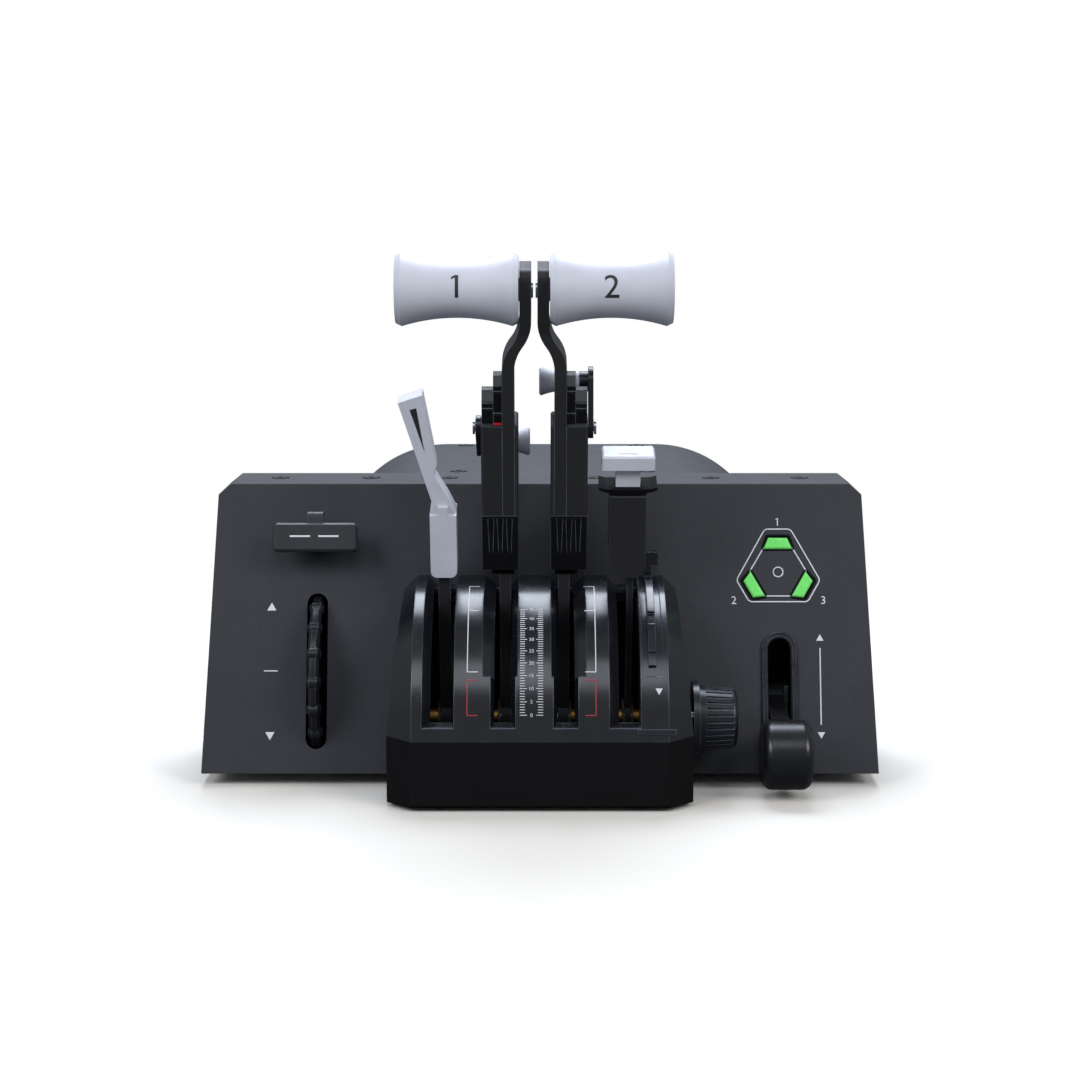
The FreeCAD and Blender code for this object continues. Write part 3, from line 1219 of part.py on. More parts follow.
def throttle_handle(number, side):
    """Waisted roller grip on the arm's head, with its screw."""
    grip = body("throttle_%d_handle" % number, "lever")
    start, end = "head_out + handle_gap", "head_out + handle_gap + handle_long"
    sag = "(handle_rim - handle_waist)"
    half = "(handle_long / 2 - handle_bevel)"
    hollow = "-%d * ((%s)^2 + %s^2) / (2 * %s)" % (side, half, sag, sag)
    edge = "handle_rim - handle_bevel / 2"
    wire = [(start, "0"), (end, "0"), (end, edge), (end + " - handle_bevel", "handle_rim", hollow),
            (start + " + handle_bevel", "handle_rim"), (start, edge)]
    lathe(grip, [(side_of(side, corner[0]),) + corner[1:] for corner in wire], "handle_up")
    extrude(grip, "x", [("circle", "0", "handle_up", "5")], *span(side, "head_out", start))
    extrude(grip, "x", [("circle", "0", "handle_up", "screw_radius + run")],
            *span(side, "head_out - 1", "head_out + 12"), cut=True)
    screw = body("throttle_%d_screw" % number, "lever")
    low, high = span(side, "head_in - 0.8", "head_out + 11")
    extrude(screw, "x", [("circle", "0", "handle_up", "screw_radius")], low, high)
    extrude(screw, "x", [("circle", "0", "handle_up", "screw_radius + 1.6")],
            *span(side, "head_in - 0.8", "head_in"))


def reverser(number, side, elevation):
    """Small lever behind a throttle: a tapered side plate with a flared roller across its end."""
    plate = body("reverser_%d_arm" % number, "lever")
    end_y = "reverser_back + reverser_reach * cos(%s)" % elevation
    end_z = "reverser_up + reverser_reach * sin(%s)" % elevation
    near, far = "case_out + side_gap", "case_out + side_gap + reverser_plate"
    slab = []
    for back, up, half in (("reverser_back", "reverser_up", "-reverser_hub"),
                           (end_y, end_z, "-reverser_end"), (end_y, end_z, "reverser_end"),
                           ("reverser_back", "reverser_up", "reverser_hub")):
        slab.append(("%s - %s * sin(%s)" % (back, half, elevation),
                     "%s + %s * cos(%s)" % (up, half, elevation)))
    extrude(plate, "x", [slab], *span(side, near, far))
    extrude(plate, "x", [("circle", "reverser_back", "reverser_up", "reverser_hub")], *span(side, near, far))
    extrude(plate, "x", [("circle", end_y, end_z, "reverser_end")], *span(side, near, far))
    extrude(plate, "x", [("circle", end_y, end_z, "roller_waist")], *span(side, "roller_out", near))
    extrude(plate, "x", [("circle", "reverser_back", "reverser_up", "reverser_pin + run")],
            *span(side, near + " - 1", far + " + 1"), cut=True)
    roller = body("reverser_%d_roller" % number, "lever")
    wire = [("roller_in", "0"), ("roller_out", "0"),
            ("roller_out", "roller_waist", "-%d * roller_flare" % side),
            ("roller_in + roller_edge", "roller_rim"), ("roller_in", "roller_rim - roller_edge")]
    lathe(roller, [(side_of(side, corner[0]),) + corner[1:] for corner in wire], end_z, end_y)
    pin = body("throttle_%d_pin" % number, "lever")
    extrude(pin, "x", [("circle", "reverser_back", "reverser_up", "reverser_pin")],
            *span(side, "bar_out + 1.2", far + " + side_gap"))
    extrude(pin, "x", [("circle", "reverser_back", "reverser_up", "reverser_pin + 1.2")],
            *span(side, far + " + side_gap", far + " + side_gap + 1"))


def speed_brake():
    """Lever with a grey block and a blade leaning outboard."""
    stem = body("speed_brake_stem", "lever")
    hub_and_stem(stem, "brake_left", "brake_right", "brake_top - 8")
    grip = body("speed_brake_grip", "lever")
    left, right = "brake_left - 3.1", "brake_right + 3.1"
    block = [(left + " + 3", "brake_low"), (right + " - 3", "brake_low", "3"), (right, "brake_low + 3"),
             (right, "brake_top - 2"), (left, "brake_top - 2"), (left, "brake_low + 3", "3")]
    extrude(grip, "y", [block], "-brake_half", "brake_half")
    foot, tip = "brake_top + 3.5", "brake_top + blade_tall"
    blade = [(left, "brake_top - 2"), (right, "brake_top - 2"), ("brake_right - 0.4", "brake_top + 5.5"),
             ("brake_right - 5.8", "brake_top + 15"), ("brake_right - 6.3", "brake_top + 16.9"),
             ("brake_right - 5.2", "brake_top + 20.4"), ("brake_left - blade_out + 10.5", tip + " + 3.5"),
             ("brake_left - blade_out", tip), ("brake_left - 2.2", foot)]
    extrude(grip, "y", [blade], "-brake_half + 2.5", "brake_half - 2.5")
    socket = box_wire("brake_left - 2 * run", "-stem_half - 2 * run", "brake_right + 2 * run",
                      "stem_half + 2 * run")
    extrude(grip, "z", [socket], "brake_low - 1", "brake_top - 8 + 2 * run", cut=True)
    ledge = box_wire("brake_left + 0.4", "brake_top - 2", "brake_right - 0.5", "brake_top + 1.8")
    extrude(grip, "y", [ledge], "-brake_half", "-brake_half + 3")


def flap_lever():
    """Lever with a box body, a T handle and a lift collar that frees it from the gate."""
    stem = body("flap_stem", "lever")
    hub_and_stem(stem, "flap_left", "flap_right", "flap_top - 6")
    case = body("flap_case", "lever")
    left, right = "flap_middle - case_wide / 2", "flap_middle + case_wide / 2"
    block = [(left + " + 4", "flap_low"), (right + " - 3.5", "flap_low"), (right, "flap_low + 5"),
             (right, "flap_top"), (left, "flap_top"), (left, "flap_low + 7")]
    extrude(case, "y", [block], "-flap_half", "flap_half")
    socket = box_wire("flap_left - 2 * run", "-stem_half - 2 * run", "flap_right + 2 * run",
                      "stem_half + 2 * run")
    extrude(case, "z", [socket], "flap_low - 1", "flap_top - 6 + 2 * run", cut=True)
    handle = body("flap_handle", "lever")
    extrude(handle, "z", [box_wire("flap_middle - neck_wide / 2", "-4", "flap_middle + neck_wide / 2", "4")],
            "flap_top", "grip_low")
    top = round_box("flap_middle - grip_wide / 2", "-grip_half", "flap_middle + grip_wide / 2",
                    "grip_half", "1.2")
    extrude(handle, "z", [top], "grip_low", "grip_top")
    bevel(handle, "0.8", lambda edge: edge.BoundBox.ZMin > value("grip_top") - 0.01)
    collar = body("flap_collar", "lever")
    low = "flap_top + side_gap"
    reach = "(collar_wide / 2)"
    curve = "(%s^2 + collar_sag^2) / (2 * collar_sag)" % reach
    dip = low + " + collar_thick - collar_dip"
    bow = [("flap_middle - " + reach, low + " + collar_sag", curve),
           ("flap_middle + " + reach, low + " + collar_sag"),
           ("flap_middle + " + reach, low + " + collar_thick"),
           ("flap_middle + %s - collar_tip" % reach, dip), ("flap_middle - %s + collar_tip" % reach, dip),
           ("flap_middle - " + reach, low + " + collar_thick")]
    extrude(collar, "y", [bow], "-grip_half", "grip_half")
    extrude(collar, "z", [box_wire("flap_middle - neck_wide / 2 - side_gap", "-4 - side_gap",
                                   "flap_middle + neck_wide / 2 + side_gap", "4 + side_gap")],
            low + " - 1", low + " + collar_thick + 1", cut=True)


# ------------------------------------------------------------------------------------------------
# Build, check and write
# ------------------------------------------------------------------------------------------------
def build():
    fill_sheet()
    for make in (cabinet_shell, rear_wall, rear_cover, deck_screws, front_panel, base_plate, mounting_nuts,
                 rubber_feet, quadrant_base, quadrant_shell, flap_gate, pivot_shaft, shaft_brackets,
                 shaft_stack, lever_sensors, gear_lamps, gear_slot_bezel, gear_lever, gear_mount,
                 trim_wheel, park_brake, selector_knob, control_board, speed_brake, flap_lever):
        make()
    for number, side, elevation in ((1, -1, "stowed"), (2, 1, "raised")):
        throttle_arm(number, side)
        throttle_case(number, side)
        throttle_pawl(number, side)
        throttle_handle(number, side)
        reverser(number, side, elevation)
    document.recompute()


def check():
    """Stops with the names of every object that failed or holds no valid solid."""
    faults = [thing.Label for thing in document.Objects
              if {"Invalid", "Error"} & set(thing.State)]
    faults += [piece.Label for piece in pieces
               if piece.Shape.isNull() or not piece.Shape.isValid() or not piece.Shape.Solids]
    if faults:
        raise RuntimeError("failed: " + ", ".join(faults))


def write():
    os.makedirs("parts", exist_ok=True)
    for piece in pieces:
        piece.Shape.exportStep(os.path.join("parts", piece.Label + ".step"))


build()
check()
write()
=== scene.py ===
"""Looks of a desktop throttle quadrant, section by section in the order it is put together."""
import bmesh
import bpy
import json
import math
import numpy as np
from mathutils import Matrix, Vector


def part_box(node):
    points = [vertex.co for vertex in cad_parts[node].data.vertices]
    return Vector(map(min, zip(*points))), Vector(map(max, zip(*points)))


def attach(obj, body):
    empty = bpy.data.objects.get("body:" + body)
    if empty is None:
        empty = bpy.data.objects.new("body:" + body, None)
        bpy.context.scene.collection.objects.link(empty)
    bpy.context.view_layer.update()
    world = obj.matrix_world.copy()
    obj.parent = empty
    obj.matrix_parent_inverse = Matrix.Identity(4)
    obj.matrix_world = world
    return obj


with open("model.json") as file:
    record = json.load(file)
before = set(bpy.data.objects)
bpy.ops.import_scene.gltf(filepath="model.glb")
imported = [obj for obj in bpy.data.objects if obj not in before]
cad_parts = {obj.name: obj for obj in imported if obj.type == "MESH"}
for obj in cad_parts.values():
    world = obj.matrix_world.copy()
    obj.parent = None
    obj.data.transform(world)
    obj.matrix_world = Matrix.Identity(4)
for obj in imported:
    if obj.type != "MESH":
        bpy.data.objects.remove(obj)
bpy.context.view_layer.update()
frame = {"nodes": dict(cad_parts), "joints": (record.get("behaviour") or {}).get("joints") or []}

# ---------------------------------------------------------------------------------------------
# Cabinet: deck, leaning front panel, rear wall and rear cover
# Folded steel sheet, fine dark grey powder coat, some orange peel; edges lighter by wear and painted
# highlight
# ---------------------------------------------------------------------------------------------


def ink(code):
    """Linear colour of an sRGB hex code: each channel c is c/12.92 below 0.04045, else
    ((c + 0.055) / 1.055) to the power 2.4."""
    channels = [int(code[place:place + 2], 16) / 255 for place in (1, 3, 5)]
    return tuple(c / 12.92 if c <= 0.04045 else ((c + 0.055) / 1.055) ** 2.4 for c in channels) + (1.0,)


def add_node(tree, kind, sockets=None, **settings):
    """One shader node; a socket is filled with a value, or linked if it is given another socket."""
    made = tree.nodes.new("ShaderNode" + kind)
    for name, setting in settings.items():
        setattr(made, name, setting)
    for name, filled in (sockets or {}).items():
        if isinstance(filled, bpy.types.NodeSocket):
            tree.links.new(filled, made.inputs[name])
        else:
            made.inputs[name].default_value = filled
    return made


def blend(tree, share, first, second):
    """Colour between first and second, each a colour or another node's output. Sockets 0, 6 and 7
    of the mixing node are the share and the two colours, and its output 2 is the colour."""
    return add_node(tree, "Mix", {0: share, 6: first, 7: second}, data_type="RGBA").outputs[2]


def empty_tree(owner):
    """The node tree of a material or a world, with nothing in it."""
    owner.use_nodes = True
    owner.node_tree.nodes.clear()
    return owner.node_tree


def finish(name, colour, mottle, edge, rough, grain_mm, depth_mm, patch_mm=25.0, edge_mm=0.35,
           edge_share=0.6, smudge=0.06, fleck=None, fleck_share=0.0, **shader):
    """A surface finish. The colour drifts to mottle over patches; edges, found where a rounded
    normal leaves the true one, take the edge colour in broken lengths, partly as wear and partly as a
    painted highlight; a fine grain gives the bump, flecks of a second colour sit on its peaks, and soft
    smudges move the roughness."""
    material = bpy.data.materials.new(name)
    tree = empty_tree(material)

    def noise(size_mm, detail, roughness=0.5):
        """Soft noise from 0 to 1 whose blotches are about size_mm across."""
        return add_node(tree, "TexNoise", {"Vector": place, "Scale": 1000 / size_mm, "Detail": detail,
                                           "Roughness": roughness}).outputs["Fac"]

    def ramp(source, start, end, low, high):
        """The source taken in a straight line from start..end to low..high, and held beyond both."""
        return add_node(tree, "MapRange", {"Value": source, "From Min": start, "From Max": end,
                                           "To Min": low, "To Max": high}).outputs["Result"]

    place = add_node(tree, "TexCoord").outputs["Object"]
    patch, grain, smear = noise(patch_mm, 3.0), noise(grain_mm, 2.0, 0.6), noise(patch_mm * 0.4, 4.0)
    body = blend(tree, ramp(patch, 0.3, 0.7, 0.0, 1.0), ink(colour), ink(mottle))
    if fleck:
        peak_start, peak_full = 0.56, 0.70
        body = blend(tree, ramp(grain, peak_start, peak_full, 0.0, fleck_share), body, ink(fleck))
    # cosine of true and rounded normal: where edge wear and painted highlight start, and are full
    edge_wear_highlight_start, edge_wear_highlight_full = 0.995, 0.80
    rounded = add_node(tree, "Bevel", {"Radius": edge_mm / 1000}, samples=6)
    true = add_node(tree, "NewGeometry")
    match = add_node(tree, "VectorMath", {0: rounded.outputs["Normal"], 1: true.outputs["Normal"]},
                     operation="DOT_PRODUCT")
    wear_and_highlight = ramp(match.outputs["Value"], edge_wear_highlight_start, edge_wear_highlight_full, 0.0, edge_share)
    broken = add_node(tree, "Math", {0: wear_and_highlight, 1: ramp(smear, 0.35, 0.6, 0.5, 1.0)}, operation="MULTIPLY")
    whole = blend(tree, broken.outputs[0], body, ink(edge))
    dull = add_node(tree, "Math", {0: ramp(smear, 0.3, 0.7, rough - smudge, rough + smudge),
                                   1: ramp(grain, 0.3, 0.7, -0.03, 0.03)}, operation="ADD")
    bump = add_node(tree, "Bump", {"Height": grain, "Distance": depth_mm / 1000, "Strength": 1.0,
                                   "Normal": rounded.outputs["Normal"]})
    surface = add_node(tree, "BsdfPrincipled", {"Base Color": whole, "Roughness": dull.outputs[0],
                                                "Normal": bump.outputs["Normal"], **shader})
    add_node(tree, "OutputMaterial", {"Surface": surface.outputs[0]})
    return material


def coat(material, *names):
    """Gives the material to every slot of the named CAD nodes."""
    for name in names:
        mesh = frame["nodes"][name].data
        mesh.materials.clear()
        mesh.materials.append(material)


# dark grey powder coat, fine orange peel, lighter flecks of the powder
powder_coat = finish("powder coated steel", "#303136", "#2c2d32", "#7a7f8e", 0.50, 0.55, 0.012,
                     fleck="#474952", fleck_share=0.35, **{"Specular IOR Level": 0.30})
coat(powder_coat, "cabinet_shell", "front_panel", "rear_cover", "rear_wall")

# ---------------------------------------------------------------------------------------------
# Base plate, mounting nuts, brackets and rubber feet
# Bright zinc-plated sheet with a cloudy passivation, which the knob's encoder case has as well;
# black moulded rubber feet
# ---------------------------------------------------------------------------------------------
zinc_plate = finish("zinc plated steel", "#9aa0a6", "#7f868e", "#c9ced4", 0.36, 0.5, 0.004, 12.0,
                    fleck="#b4b9ae", fleck_share=0.3, Metallic=0.9)
coat(zinc_plate, "base_plate", "mounting_nuts", "shaft_bracket_left", "shaft_bracket_right",
     "gear_bracket", "trim_bracket", "knob_encoder")
foot_rubber = finish("moulded rubber", "#17181a", "#202123", "#2c2d30", 0.82, 0.35, 0.02, 8.0,
                     **{"Specular IOR Level": 0.2})
coat(foot_rubber, "rubber_feet")

# ---------------------------------------------------------------------------------------------
# Screws of the deck and the rear cover
# Black oxide steel pan heads in shallow recesses; a dark hexagon on each paints its socket's shade
# ---------------------------------------------------------------------------------------------
black_oxide = finish("black oxide steel", "#1a1b1e", "#24262a", "#70757f", 0.38, 0.25, 0.004, 3.0,
                     Metallic=0.6)
coat(black_oxide, "deck_screws")
socket_shadow = finish("hexagon socket shadow", "#060607", "#08080a", "#141518", 0.8, 0.3, 0.004, 3.0,
                       **{"Specular IOR Level": 0.05})
MM = 0.001


def groups(values, gap):
    """Middles of the clusters that the values form, each more than gap from the next."""
    values = np.sort(values)
    breaks = np.where(np.diff(values) > gap)[0] + 1
    return [(part.min() + part.max()) / 2 for part in np.split(values, breaks)]


def piece(name, points, faces, material, body="cabinet"):
    """A mesh piece from arrays of points and faces, riding on a body. Corners that lie on each other
    are merged, and its faces are turned outward."""
    mesh = bpy.data.meshes.new(name)
    mesh.from_pydata(np.asarray(points).tolist(), [], [list(map(int, face)) for face in faces])
    mesh.validate()
    skin = bmesh.new()
    skin.from_mesh(mesh)
    bmesh.ops.remove_doubles(skin, verts=skin.verts[:], dist=0.001 * MM)
    bmesh.ops.recalc_face_normals(skin, faces=skin.faces[:])
    skin.to_mesh(mesh)
    skin.free()
    mesh.materials.append(material)
    made = bpy.data.objects.new(name, mesh)
    bpy.context.scene.collection.objects.link(made)
    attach(made, body)
    return made


def corners_of(mesh):
    """Vertices of a mesh as an array of (x, y, z)."""
    flat = np.empty(len(mesh.vertices) * 3)
    mesh.vertices.foreach_get("co", flat)
    return flat.reshape(-1, 3)


def prisms(outlines, surface, low, high):
    """Closed prisms over a surface, from outlines of equal corner count, each (count, 2).
    surface(flat, height) lifts flat corners, and the prism runs from height low to height high."""
    outlines = np.asarray(outlines, float)
    many, count = outlines.shape[:2]
    points = np.concatenate([surface(outlines, low), surface(outlines, high)], 1).reshape(-1, 3)
    faces = []
    for first in range(0, many * count * 2, count * 2):
        ring = np.arange(first, first + count)
        faces += [ring[::-1].tolist(), (ring + count).tolist()]
        faces += np.stack([ring, np.roll(ring, -1), np.roll(ring, -1) + count, ring + count], 1).tolist()
    return points, faces


def level(flat, height):
    """Flat corners (x, y) at that height."""
    return np.concatenate([flat, np.full(flat.shape[:-1] + (1,), height)], -1)


# the heads' flat tops give the screws' places: rows from front to back, then screws along each row
heads = corners_of(frame["nodes"]["deck_screws"].data)
head_top = heads[:, 2].max()
heads = heads[heads[:, 2] > head_top - 0.1 * MM]
screw_gap, row_half = 10 * MM, 6 * MM
sockets = []
for row in groups(heads[:, 1], screw_gap):
    in_row = heads[abs(heads[:, 1] - row) < row_half]
    sockets += [(across, row) for across in groups(in_row[:, 0], screw_gap)]
socket_radius, socket_deep, socket_proud = 1.5 * MM, 0.2 * MM, 0.03 * MM
turns = np.radians(np.arange(6) * 60)
hexagon = np.stack([np.cos(turns), np.sin(turns)], 1) * socket_radius
piece("screw_socket_shade", *prisms([hexagon + np.array(place) for place in sockets], level,
                               head_top - socket_deep, head_top + socket_proud), socket_shadow)

# ---------------------------------------------------------------------------------------------
# Lever module: black tray below, rounded hood above
# Tray is matt black moulded plastic; hood is near-black satin plastic, with painted highlight along its
# edges
# ---------------------------------------------------------------------------------------------
tray_plastic = finish("matt black moulding", "#131314", "#111112", "#2c2d33", 0.62, 0.5, 0.01,
                      **{"Specular IOR Level": 0.08})
coat(tray_plastic, "quadrant_base")
# the pale blue-grey edge colour paints a highlight along the hood's edges and ridges
hood_plastic = finish("satin black moulding", "#131418", "#101115", "#737a92", 0.23, 0.8, 0.002,
                      edge_mm=0.6, smudge=0.035, **{"Specular IOR Level": 0.52})
coat(hood_plastic, "quadrant_shell", "flap_gate")

# ---------------------------------------------------------------------------------------------
# Inner works: shaft, spacers, washers, sensors and circuit boards
# Ground steel shaft, turned brass spacers, felt washers, amber sensor bodies on the tray's floor;
# the other axles and pins, the grips' screws and the cable socket have the shaft's bright steel
# ---------------------------------------------------------------------------------------------
ground_steel = finish("ground steel", "#a9acb1", "#8f9399", "#d8dade", 0.24, 0.12, 0.003, 6.0,
                      Metallic=1.0)
coat(ground_steel, "pivot_shaft", "gear_pin", "trim_axle", "knob_shaft", "usb_socket",
     "throttle_1_screw", "throttle_2_screw", "throttle_1_pin", "throttle_2_pin")
turned_brass = finish("turned brass", "#8a6a32", "#74562a", "#c9a765", 0.34, 0.2, 0.004, 5.0,
                      Metallic=1.0)
coat(turned_brass, "lever_spacers")
friction_felt = finish("pressed felt", "#5d5548", "#4b4439", "#6d6557", 0.95, 0.4, 0.06, 3.0,
                       **{"Specular IOR Level": 0.1})
coat(friction_felt, "friction_washers")
sensor_plastic = finish("amber sensor moulding", "#b8742a", "#9c5f22", "#d69a52", 0.45, 0.3, 0.006,
                        6.0)
coat(sensor_plastic, "lever_sensors")
board_green = finish("solder masked board", "#15502c", "#0f4023", "#3f7d52", 0.35, 0.8, 0.004, 4.0,
                     fleck="#9a8f4e", fleck_share=0.5)
coat(board_green, "control_board", "lamp_board")

# ---------------------------------------------------------------------------------------------
# Levers, their cases and the small black controls
# Blackened steel arms, moulded cases with a dull sheen, glossy black boots and pawls; wheel, knobs,
# slot rim and reverser arms are satin black mouldings, the brake plate is a shade lighter
# ---------------------------------------------------------------------------------------------
# the pale blue-grey edge colours in this section paint a highlight along the parts' bevels and edges
lever_steel = finish("blackened steel", "#29292a", "#262627", "#8a92a6", 0.44, 0.4, 0.005,
                     edge_mm=0.45, edge_share=0.7, **{"Specular IOR Level": 0.14})
coat(lever_steel, "speed_brake_stem", "throttle_1_arm", "throttle_2_arm", "flap_stem", "gear_arm",
     "park_brake_rod", "park_brake_guide")
case_plastic = finish("black case moulding", "#29292a", "#262628", "#747b8e", 0.48, 0.5, 0.006,
                      edge_mm=0.45, **{"Specular IOR Level": 0.12})
coat(case_plastic, "throttle_1_case", "throttle_2_case", "flap_case")
satin_black = finish("satin black moulding of small parts", "#131417", "#101114", "#8088a0", 0.30, 0.4,
                     0.004, edge_share=0.7, **{"Specular IOR Level": 0.4})
coat(satin_black, "reverser_1_arm", "reverser_2_arm", "gear_slot_bezel", "trim_wheel", "gear_knob",
     "selector_knob")
plate_plastic = finish("grey black moulding of the brake plate", "#2b2c30", "#28292c", "#7a7e8a", 0.42, 0.4,
                       0.004, edge_mm=0.4, **{"Specular IOR Level": 0.3})
coat(plate_plastic, "park_brake_plate")
collar_plastic = finish("matt black collar", "#101012", "#0e0e10", "#4a4d58", 0.55, 0.4, 0.004,
                        edge_mm=0.25, edge_share=0.4, **{"Specular IOR Level": 0.02})
coat(collar_plastic, "flap_collar")
boot_gloss = finish("glossy black moulding", "#060607", "#080809", "#858da2", 0.17, 0.8, 0.003,
                    edge_mm=0.45, edge_share=0.65, **{"Specular IOR Level": 0.22})
coat(boot_gloss, "throttle_1_boot", "throttle_2_boot", "throttle_1_pawl", "throttle_2_pawl")

# ---------------------------------------------------------------------------------------------
# Grips
# Light grey moulded plastic with a fine spark-eroded grain, a little darker in handled patches
# ---------------------------------------------------------------------------------------------
grip_plastic = finish("light grey grip moulding", "#c4c6cf", "#bbbdc7", "#e2e5ee", 0.44, 0.4, 0.006,
                      patch_mm=14.0, edge_share=0.5, **{"Specular IOR Level": 0.30})
coat(grip_plastic, "throttle_1_handle", "throttle_2_handle", "speed_brake_grip", "flap_handle",
     "reverser_1_roller", "reverser_2_roller")

# ---------------------------------------------------------------------------------------------
# Gear lamps
# Three moulded green lenses lit from behind, each in its own window of the front panel
# ---------------------------------------------------------------------------------------------
lens_green = finish("lit green lens", "#70cf6a", "#62c25e", "#9af29a", 0.25, 0.5, 0.004, 2.0,
                    edge_mm=0.5, edge_share=0.5,
                    **{"Emission Color": ink("#5fd35a"), "Emission Strength": 0.3})
coat(lens_green, "gear_lamps")

# ---------------------------------------------------------------------------------------------
# Printed marks on the hood
# Screen ink: a white scale from 0 to 45 with its numerals, and beside the thrust levers' channels
# white brackets along their travel and red ones at its lower end
# ---------------------------------------------------------------------------------------------
joints = {made["name"]: made for made in frame["joints"]}
pivot = np.array(joints["throttle_1_pivot"]["pos_m"])
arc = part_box("quadrant_shell")[1].z - pivot[2]
# the brake plate is pulled square to the panel, so its axis gives the panel's slope
out_dir = np.array(joints["park_brake_pull"]["axis"])
lean = np.degrees(np.arcsin(out_dir[2]))
INK_THICK = 0.08 * MM


def on_hood(across, elevation, out):
    """Points of the hood at an elevation e about the lever pivot: its back is an arc, and below
    e = lean a flat wall touches it, so the radius is arc / cos(lean - e) there, plus out."""
    turn = np.radians(elevation)
    radius = arc / np.cos(np.radians(np.clip(lean - elevation, 0, None))) + out
    return np.stack([across, pivot[1] - radius * np.cos(turn), pivot[2] + radius * np.sin(turn)], -1)


def wrapped(flat, across, elevation, out):
    """Flat corners (across, up) laid on the hood about a middle: a height up turns by up / arc."""
    return on_hood(flat[..., 0] + across, elevation + np.degrees(flat[..., 1] / arc), out)


def bars(spans, surface, steps, thick=INK_THICK):
    """Thin bars. Each span (left, right, low, high) becomes a closed slab of steps stations, mapped
    through surface(across, along, out), that stands proud by thick and sinks in as far."""
    spans = np.array(spans, float)
    share = np.linspace(0, 1, steps + 1)
    along = spans[:, 2, None] + (spans[:, 3] - spans[:, 2])[:, None] * share
    left = np.repeat(spans[:, 0, None], steps + 1, 1)
    right = np.repeat(spans[:, 1, None], steps + 1, 1)
    corners = [surface(left, along, -thick), surface(right, along, -thick),
               surface(right, along, thick), surface(left, along, thick)]
    points = np.stack(corners, 2).reshape(-1, 3)
    ring = np.arange(len(spans) * (steps + 1) * 4).reshape(len(spans), steps + 1, 4)
    near, far = ring[:, :-1], ring[:, 1:]
    sides = np.stack([near, np.roll(near, -1, 2), np.roll(far, -1, 2), far], -1).reshape(-1, 4)
    ends = np.concatenate([ring[:, 0, ::-1], ring[:, -1]]).reshape(-1, 4)
    return points, np.concatenate([sides, ends])


def numeral(text, size, cuts=0):
    """Slab of a plain numeral about its own middle: the font's outline given a small thickness and
    cut level in strips so that it can follow a curve. The font's 1 is a bare bar, so it gets a
    flag. Returns its points as (across, up, out) and its faces."""
    letters = bpy.data.curves.new("numeral", "FONT")
    letters.body, letters.size, letters.extrude = text, size, INK_THICK
    letters.align_x, letters.align_y, letters.resolution_u = "CENTER", "CENTER", 4
    shown = bpy.data.objects.new("numeral", letters)
    bpy.context.scene.collection.objects.link(shown)
    bpy.context.view_layer.update()
    mesh = bpy.data.meshes.new_from_object(shown)
    strips = bmesh.new()
    strips.from_mesh(mesh)
    for height in np.linspace(-size / 2, size, cuts):
        bmesh.ops.bisect_plane(strips, geom=strips.verts[:] + strips.edges[:] + strips.faces[:],
                               plane_co=(0, height, 0), plane_no=(0, 1, 0))
    strips.to_mesh(mesh)
    strips.free()
    points = corners_of(mesh)
    faces = [list(side.vertices) for side in mesh.polygons]
    bpy.data.objects.remove(shown)
    bpy.data.meshes.remove(mesh)
    points[:, :2] -= (points[:, :2].max(0) + points[:, :2].min(0)) / 2
    if text == "1":
        # corners of the flag about the bar's middle, as shares of the numeral's size
        flag = np.array([(-0.048, 0.341), (-0.048, 0.263), (-0.162, 0.204), (-0.162, 0.275)]) * size
        ring = len(points) + np.arange(4)
        back, front = np.insert(flag, 2, -INK_THICK, 1), np.insert(flag, 2, INK_THICK, 1)
        points = np.concatenate([points, back, front])
        faces += [ring[::-1].tolist(), (ring + 4).tolist()]
        faces += np.stack([ring, np.roll(ring, -1), np.roll(ring, -1) + 4, ring + 4], 1).tolist()
    return points, faces


white_ink = finish("white screen ink", "#dadade", "#d0d0d5", "#ececf0", 0.6, 0.3, 0.002, 4.0)
red_ink = finish("red screen ink", "#b02a35", "#a2262f", "#c6515a", 0.6, 0.3, 0.002, 4.0)

# elevations at which the scale reads 0 and 45, and the width of a tick as half a turn
scale_start, scale_end, scale_count, tick_half = 14.4, 59.3, 45, 0.14
tick_turn = (scale_end - scale_start) / scale_count
left_edge, left_long, left_short = -8.7 * MM, -5.6 * MM, -6.5 * MM
right_edge, right_long, right_short = 1.4 * MM, -1.6 * MM, -0.9 * MM
ticks = []
for place in range(scale_count + 1):
    at = scale_start + place * tick_turn
    five = place % 5 == 0
    ticks.append((left_edge, left_long if five else left_short, at - tick_half, at + tick_half))
    ticks.append((right_long if five else right_short, right_edge, at - tick_half, at + tick_half))
piece("scale_ticks", *bars(ticks, on_hood, 1), white_ink)

scale_numeral, numeral_middle = 2.3 * MM, -3.65 * MM
all_points, all_faces, start = [], [], 0
for place in range(0, scale_count + 1, 5):
    points, faces = numeral(str(place), scale_numeral)
    all_points.append(wrapped(points, numeral_middle, scale_start + place * tick_turn, points[:, 2]))
    all_faces += [[corner + start for corner in face] for face in faces]
    start += len(points)
piece("scale_numerals", np.concatenate(all_points), all_faces, white_ink)

# each bracket is a long line between two elevations, with short lines from it towards the scale
line, line_turn, bracket_reach = 0.42 * MM, 0.36, 4.4 * MM
bracket_left, bracket_right = -31.4 * MM, 24.1 * MM
for name, ends, inner_lines, material in (("bracket", (30.8, 75.4), (58.6,), white_ink),
                                          ("idle_bracket", (14.3, 27.6), (), red_ink)):
    for side, edge, reach in (("left", bracket_left, bracket_reach),
                              ("right", bracket_right, -bracket_reach)):
        near, far = sorted((edge, edge + reach))
        spans = [(edge - line / 2, edge + line / 2) + ends]
        spans += [(near - line / 2, far + line / 2, at - line_turn / 2, at + line_turn / 2)
                  for at in ends + inner_lines]
        piece("%s_%s" % (name, side), *bars(spans, on_hood, 40), material)

